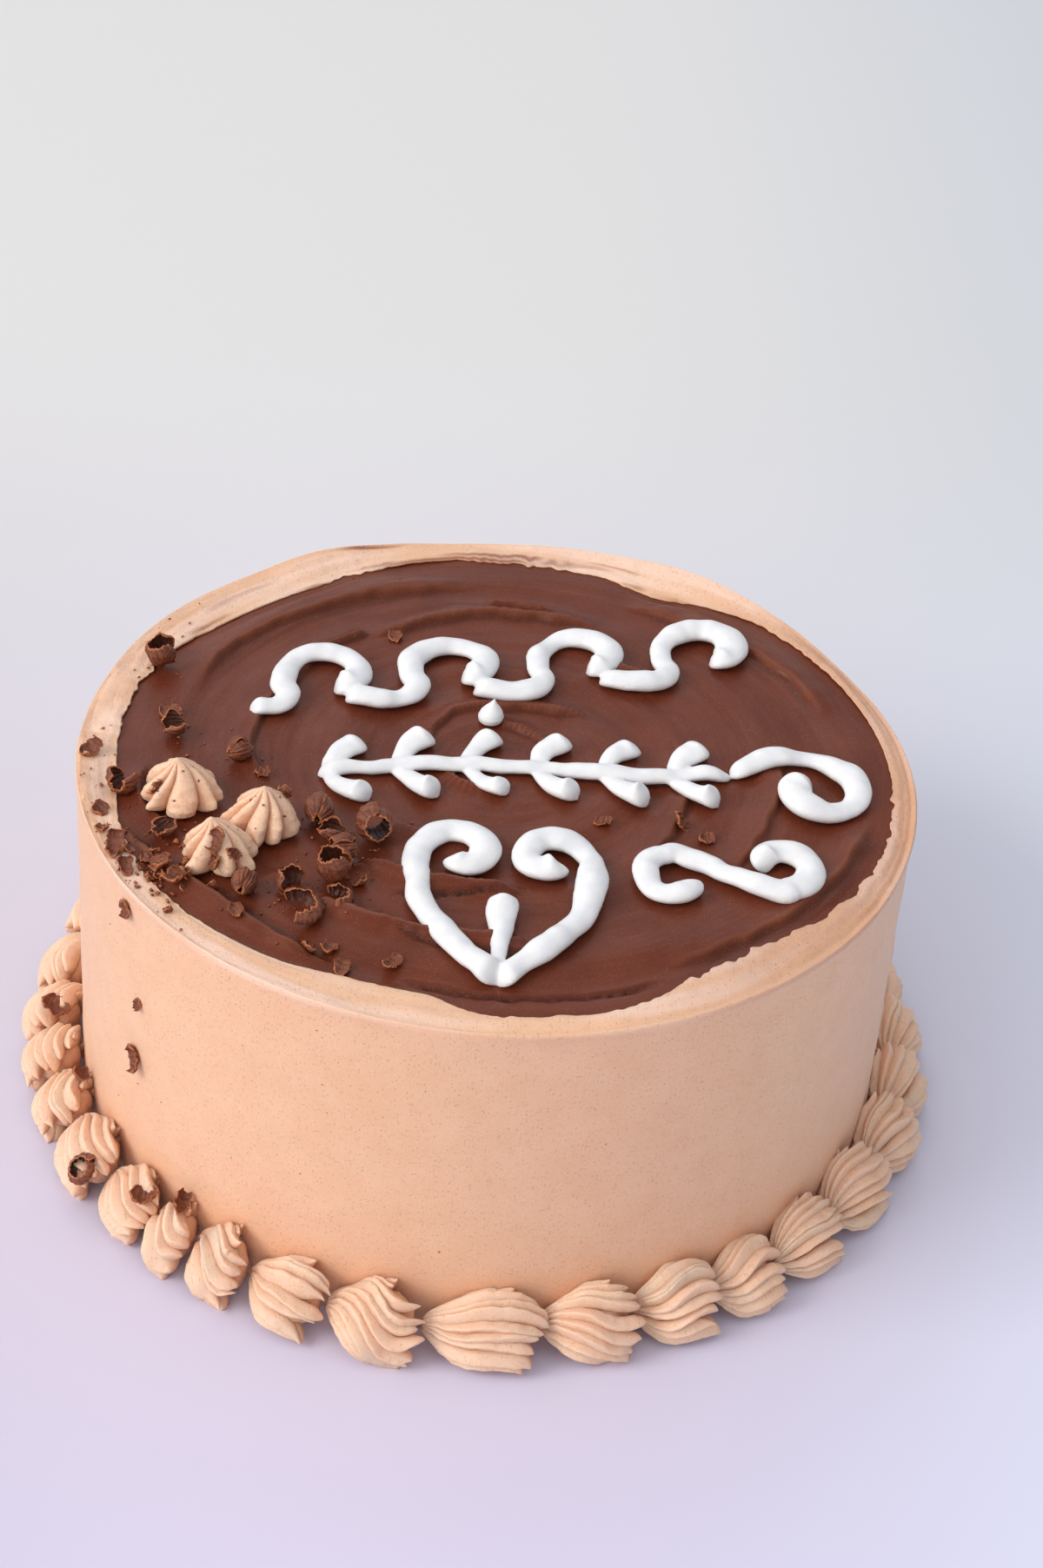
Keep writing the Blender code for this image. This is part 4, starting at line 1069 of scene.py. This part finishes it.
def remeshed(name, solids):
    """Overlapping closed solids as one skin, softened where they meet. Returns its points and faces."""
    points, faces = joined(solids)
    mesh = bpy.data.meshes.new(name)
    mesh.from_pydata((points * MM).tolist(), [], faces)
    made = bpy.data.objects.new(name, mesh)
    bpy.context.scene.collection.objects.link(made)
    skin = made.modifiers.new("skin", "REMESH")
    skin.mode = "VOXEL"
    skin.voxel_size = LINE_VOXEL * MM
    soft = made.modifiers.new("soft", "SMOOTH")
    soft.factor = 0.5
    soft.iterations = LINE_SOFTENING
    graph = bpy.context.evaluated_depsgraph_get()
    done = bpy.data.meshes.new_from_object(made.evaluated_get(graph))
    points, faces = mesh_points(done), [tuple(face.vertices) for face in done.polygons]
    bpy.data.objects.remove(made)
    bpy.data.meshes.remove(done)
    bpy.data.meshes.remove(mesh)
    return points, faces


def build_scrollwork(finish):
    """Each row of strokes as one skin with soft joints."""
    for row, (name, lines) in enumerate(scrollwork().items()):
        solids = [tube(corners, kind, 400 + 20 * row + i) for i, (kind, corners) in enumerate(lines)]
        points, faces = remeshed(name, solids)
        points[:, 2] += 0.07 * ripple(points, 2.4, 480 + row)
        add_piece(f"icing_{name}", points, faces, finish, "white_icing", [name])


def build_bead(finish):
    """The single bead: a round drop with a leaning tip."""
    x, y, radius, height = BEAD
    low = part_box("bead")[0].z / MM
    rise = np.linspace(0, 1, BEAD_GRID[0])[:, None]
    angle = np.linspace(0, 2 * math.pi, BEAD_GRID[1], endpoint=False)[None, :]
    out = radius * np.interp(rise, BEAD_RISES, BEAD_WIDTHS) * (1 + 0.06 * np.sin(angle + 1))
    rings = np.array([x, y, low]) + around(out, angle, height * rise)
    rings[..., :2] += BEAD_LEAN * rise[..., None] ** 2
    points, faces = closed(rings, (x, y, low), (x + BEAD_LEAN, y + BEAD_LEAN, low + height))
    add_piece("icing_bead", points, faces, finish, "white_icing", ["bead"])


def sheet_faces(along, across):
    """Faces of a thin sheet: those of its outside's points, its inside's, and the edge between them."""
    here = np.arange(along * across).reshape(along, across)
    count = here.size
    quads = np.stack([here[:-1, :-1], here[:-1, 1:], here[1:, 1:], here[1:, :-1]], axis=-1).reshape(-1, 4)
    edge = np.concatenate([here[0, :-1], here[:-1, -1], here[-1, :0:-1], here[:0:-1, 0]])
    after = np.roll(edge, -1)
    sides = np.stack([edge, after, after + count, edge + count], axis=1)
    return quads[:, ::-1].tolist() + (quads + count).tolist() + sides.tolist()


def shaving(radius, width, sweep, seed, grid, opening, waist, rough, inner_shade=0.0):
    """A rolled shaving, ribbed, ragged at its ends and paler where it is torn: its points, faces and tones.

    The tones on its inside are put under zero by the given amount of painted shade, which darkens them.
    """
    source = np.random.default_rng(seed)
    along, across = grid
    s = np.linspace(0, 1, along)[:, None]
    w = np.linspace(-1, 1, across)[None, :]
    w = np.sign(w) * np.abs(w) ** 0.8
    angle = np.radians(sweep * (s - 0.5) - 90)
    travel = np.stack([np.cos(angle) * radius, np.sin(angle) * radius], axis=-1)[:, 0]
    ragged = []
    for k in (0, 1):
        edge = 0.07 * ripple(travel, 2.2, seed + k) + 0.025 * ripple(travel, 0.5, seed + k + 2)
        ragged.append((0.96 + rough * edge)[:, None])
    x = 0.5 * width * w * np.where(w < 0, *ragged) * (1 - 0.4 * np.abs(2 * s - 1) ** 5)
    ribs = np.abs(np.sin(math.pi * s * math.radians(sweep) * source.uniform(1.9, 2.5) + 0.3 * w)) ** 0.6
    barrel = radius * (1 - waist * np.abs(w) ** 2.2) * (1 + opening * (s - 0.5))
    where = np.stack([x, barrel * np.cos(angle), barrel * np.sin(angle)], axis=-1)
    crinkle = 0.16 * ripple(where, 1.8, seed + 5) + 0.06 * ripple(where, 0.5, seed + 6)
    torn = np.clip(smooth(0.93, 1.0, np.abs(w)) + smooth(0.97, 1.0, np.abs(2 * s - 1)), 0, 1)
    thick = CURL_THICKNESS * (1 - 0.5 * torn) * (1 + 0.2 * ripple(where, 2.0, seed + 8))
    points = []
    for side in (0, 1):
        r = barrel - side * thick + crinkle + RIB_DEPTH * (ribs - 0.5)
        r = r + 0.16 * rough * torn * ripple(where, 0.8, seed + 7)
        points.append(np.stack([x, r * np.cos(angle), r * np.sin(angle)], axis=-1).reshape(-1, 3))
    worn = 0.25 * np.clip(ripple(where, 1.0, seed + 9), 0, 1)
    # Painted shade inside the roll: tones under zero, which the finish darkens.
    inside = 0.8 * torn + 0.08 - inner_shade * (1 - torn)
    tones = np.concatenate([np.clip(torn + worn, 0, 1).ravel(), inside.ravel()])
    return np.vstack(points), sheet_faces(along, across), tones


def build_curls(finish):
    """Every curl on its own node, turned as its solid is and standing at the same height."""
    for i, (name, place) in enumerate(CURLS.items()):
        x, y, radius, width, sweep, pitch, roll, yaw = place
        standing = pitch > STANDING_PITCH
        shut = sweep >= CLOSED_SWEEP and not standing
        waist = 0.3 if standing or name in OPEN_ENDED else 0.78 if shut else 0.5
        size, rolled = (0.92 * radius, sweep + ROLLED_ON) if shut else (radius, sweep)
        style = SHUT_ROLL if shut else LOOSE_ROLL
        points, faces, tones = shaving(size, width, rolled, 500 + 10 * i, CURL_GRID, waist=waist, **style)
        turned = np.array(Euler([math.radians(a) for a in (roll, pitch, yaw)]).to_matrix())
        points = points @ turned.T
        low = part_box(name)[0].z / MM
        points += np.array([x, y, low - points[:, 2].min() - 0.3])
        add_piece(f"shaved_{name}", points, faces, finish, "chocolate", [name], tone=tones)


class Surfaces:
    """Finds the visible surface along a ray, for what is scattered on the cake."""

    def __init__(self, pieces):
        meshes = [piece.data for piece in pieces]
        shapes = [(mesh_points(mesh), [face.vertices for face in mesh.polygons]) for mesh in meshes]
        points, faces = joined(shapes)
        self.tree = BVHTree.FromPolygons(points.tolist(), faces)

    def below(self, x, y):
        """The surface under a point: its place and its upward normal."""
        place, normal, _, _ = self.tree.ray_cast(Vector((x, y, 200)), Vector((0, 0, -1)))
        return place, normal if normal.z > 0 else -normal

    def beside(self, degrees, height):
        """The surface beside the cake's axis at a height, and its outward normal."""
        turn = math.radians(degrees)
        out = Vector((math.cos(turn), math.sin(turn), 0))
        place, normal, _, _ = self.tree.ray_cast(out * 200 + Vector((0, 0, height)), -out)
        return place, normal if normal.dot(out) > 0 else -normal


def laid(points, place, normal, turn, tilt=0.0):
    """Points turned to lie on a surface there."""
    upright = normal.to_track_quat("Z", "Y").to_matrix()
    spun = upright @ Matrix.Rotation(math.radians(turn), 3, "Z") @ Matrix.Rotation(math.radians(tilt), 3, "X")
    return points @ np.array(spun).T + np.array(place)


def flake(size, seed):
    """A short, slightly bent shaving with torn edges, lying on its back."""
    source = np.random.default_rng(seed)
    radius = size * source.uniform(0.6, 1.2)
    sweep = math.degrees(size / radius) * source.uniform(0.9, 1.3)
    width = size * source.uniform(0.6, 0.9)
    points, faces, tones = shaving(radius, width, sweep, seed, FLAKE_GRID, 0.3, 0.2, 2.6)
    points[:, 2] += radius
    return points + np.array([0, 0, 0.1]), faces, tones


def crumb(size, source):
    """A tiny broken bit: an uneven octahedron."""
    shape = np.array([(1, 0, 0), (-1, 0, 0), (0, 1, 0), (0, -1, 0), (0, 0, 1), (0, 0, -1)], float)
    uneven = source.uniform(0.35, 1.0, (6, 1))
    shape *= uneven * np.array([1, source.uniform(0.4, 1), source.uniform(0.3, 0.8)])
    ends = ((0, 2), (2, 1), (1, 3), (3, 0))
    faces = [(a, b, 4) for a, b in ends] + [(b, a, 5) for a, b in ends]
    return shape * 0.6 * size, faces, np.full(6, source.uniform(0.1, 1.0))


def build_flakes(surfaces, finish):
    """The flakes that the solids carry, each with its torn shape, on the surface that it lies on."""
    shapes = []
    spots = list(GANACHE_FLAKES + STAR_FLAKES)
    for degrees, radius, size, turn in RIM_FLAKES + BORDER_FLAKES:
        spots.append((*in_plan(radius, math.radians(degrees)), size, turn))
    source = np.random.default_rng(77)
    for i, (x, y, size, turn) in enumerate(spots):
        points, *rest = flake(FLAKE_SPREAD * size, 700 + 10 * i)
        tilt = source.uniform(-25, 25)
        shapes.append((laid(points, *surfaces.below(x, y), turn, tilt), *rest))
    for i, (degrees, height, size, turn) in enumerate(SIDE_FLAKES):
        points, *rest = flake(FLAKE_SPREAD * size, 900 + 10 * i)
        shapes.append((laid(points, *surfaces.beside(degrees, height), turn), *rest))
    points, faces, tones = joined(shapes)
    add_piece("chocolate_flakes", points, faces, finish, "chocolate", tone=tones)


def strewn(source):
    """Places and sizes of crumbs: thick by the curls and stars and on the rim, and a few anywhere on top."""
    spots = []
    curls = list(CURLS.values())[:-1]
    groups = ((curls, CRUMBS_BY_CURL, 5, (0.4, 1.7)), (STARS, CRUMBS_BY_STAR, 8, (0.3, 1.3)))
    for places, count, spread, sizes in groups:
        for x, y, *_ in places:
            for _ in range(count):
                aside, ahead = source.normal(0, spread), source.normal(0, spread)
                spots.append((x + aside, y + ahead, source.uniform(*sizes)))
    for _ in range(CRUMBS_ANYWHERE):
        radius, turn = 100 * math.sqrt(source.uniform(0, 1)), source.uniform(0, 2 * math.pi)
        spots.append((*in_plan(radius, turn), source.uniform(0.25, 0.7)))
    for middle, spread, count in CRUMBS_ON_RIM:
        for _ in range(count):
            turn, radius = math.radians(source.normal(middle, spread)), source.uniform(98, 107)
            spots.append((*in_plan(radius, turn), source.uniform(0.3, 1.5)))
    return spots


def build_crumbs(surfaces, finish):
    """Crumbs and the smallest broken bits: strewn on top, in a heap by the rim and down the side."""
    source = np.random.default_rng(88)
    spots = strewn(source)
    heaped = [HEAP + source.normal(0, 6, 2) for _ in range(HEAP_COUNT)]
    heaped = [(x, y) for x, y in heaped if math.hypot(x, y) < WALL_RADIUS - 2]
    spots += [(x, y, source.uniform(0.8, 2.8)) for x, y in heaped[HEAP_SHARDS:]]
    shapes = []
    for x, y, size in spots:
        points, *rest = crumb(size, source)
        place, normal = surfaces.below(x, y)
        if place is not None and place.z > CRUMB_LEVEL:
            shapes.append((laid(points + np.array([0, 0, 0.2 * size]), place, normal, 0), *rest))
    for i, (x, y) in enumerate(heaped[:HEAP_SHARDS]):
        points, *rest = flake(source.uniform(2.0, 3.6), 950 + 10 * i)
        turn, tilt = source.uniform(0, 360), source.uniform(-60, 60)
        shapes.append((laid(points, *surfaces.below(x, y), turn, tilt), *rest))
    for _ in range(CRUMBS_ON_SIDE):
        degrees, height = source.normal(-135, 26), source.uniform(22, 92)
        points, *rest = crumb(source.uniform(0.3, 0.9), source)
        shapes.append((laid(points, *surfaces.beside(degrees, height), 0), *rest))
    points, faces, tones = joined(shapes)
    add_piece("chocolate_crumbs", points, faces, finish, "chocolate", tone=tones)


def build_floor(finish):
    """The wide pale surface that the cake stands on."""
    mesh = bpy.data.meshes.new("floor")
    corners = [(x * FLOOR_REACH, y * FLOOR_REACH, 0) for x, y in ((-1, -1), (1, -1), (1, 1), (-1, 1))]
    mesh.from_pydata(corners, [], [(0, 1, 2, 3)])
    mesh.materials.append(finish)
    floor = bpy.data.objects.new("floor", mesh)
    bpy.context.scene.collection.objects.link(floor)


def add_area_light(name, azimuth, elevation, distance, size, power, colour):
    """A soft square light aimed at the cake, in metres and watts. Its azimuth is counted from +X."""
    turn, tilt = math.radians(azimuth), math.radians(elevation)
    way = Vector((math.cos(turn) * math.cos(tilt), math.sin(turn) * math.cos(tilt), math.sin(tilt)))
    data = bpy.data.lights.new(name, "AREA")
    data.size = size
    data.energy = power
    data.color = colour
    lamp = bpy.data.objects.new(name, data)
    lamp.location = way * distance + Vector((0, 0, 0.05))
    lamp.rotation_euler = way.to_track_quat("Z", "Y").to_euler()
    bpy.context.scene.collection.objects.link(lamp)


def build_lights():
    """Soft daylight from the left, with a cool room all round."""
    world = bpy.data.worlds.new("room")
    bpy.context.scene.world = world
    world.use_nodes = True
    background = world.node_tree.nodes["Background"]
    background.inputs["Color"].default_value = (0.92, 0.94, 1.0, 1.0)
    tree = world.node_tree
    way = add_node(tree, "ShaderNodeTexCoord").outputs["Generated"]
    split = add_node(tree, "ShaderNodeSeparateXYZ", {0: way})
    tree.links.new(ranged(tree, split.outputs[0], -0.7, 0.9, 0.88, 0.46), background.inputs["Strength"])
    add_area_light("window", -158, 36, 4.5, 2.2, 95.0, (1.0, 0.96, 0.92))
    add_area_light("front_bounce", -118, 20, 3.5, 2.4, 21.0, (1.0, 0.87, 0.73))
    add_area_light("high_right", -14, 68, 3.5, 2.6, 7.0, (0.93, 0.95, 1.0))
    add_area_light("far_window", 104, 44, 4.0, 2.2, 11.0, (0.96, 0.97, 1.0))
    scene = bpy.context.scene
    scene.view_settings.view_transform = "Standard"
    scene.view_settings.look = "None"


def build_camera():
    """The photo's camera, from its place, yaw, pitch and roll."""
    yaw, pitch, roll = CAMERA_YAW, CAMERA_PITCH, CAMERA_ROLL
    ahead = Vector((math.sin(yaw) * math.cos(pitch), math.cos(yaw) * math.cos(pitch), -math.sin(pitch)))
    right = Vector((math.cos(yaw), -math.sin(yaw), 0))
    up = right.cross(ahead)
    across = math.cos(roll) * right + math.sin(roll) * up
    upwards = -math.sin(roll) * right + math.cos(roll) * up
    data = bpy.data.cameras.new("camera")
    data.lens = CAMERA_LENS
    data.sensor_width = CAMERA_SENSOR
    data.clip_start = 0.01
    camera = bpy.data.objects.new("camera", data)
    camera.matrix_world = Matrix.Translation(Vector(CAMERA_PLACE) * MM) @ Matrix(
        (across, upwards, -ahead)).transposed().to_4x4()
    bpy.context.scene.collection.objects.link(camera)
    bpy.context.scene.camera = camera


def main():
    """Builds every piece, the floor, the lights and the camera."""
    side = buttercream("buttercream_finish", srgb(241, 195, 160), srgb(237, 188, 151), 0.5, spread=True)
    piped = buttercream("piped_finish", srgb(246, 208, 182), srgb(241, 198, 168), 0.12)
    starry = buttercream("star_finish", srgb(247, 207, 177), srgb(242, 198, 165), 0.08)
    dark = ganache_finish()
    white = white_finish()
    chocolate = chocolate_finish()

    icing = build_icing(side)
    ganache = build_ganache(dark)
    stars = [build_star(i, place, starry) for i, place in enumerate(STARS, 1)]
    dollops = [build_dollop(i, place, piped) for i, place in enumerate(border_places(), 1)]
    build_scrollwork(white)
    build_bead(white)
    build_curls(chocolate)
    surfaces = Surfaces([icing, ganache, *stars, *dollops])
    build_flakes(surfaces, chocolate)
    build_crumbs(surfaces, chocolate)
    build_floor(floor_finish())
    build_lights()
    build_camera()


main()
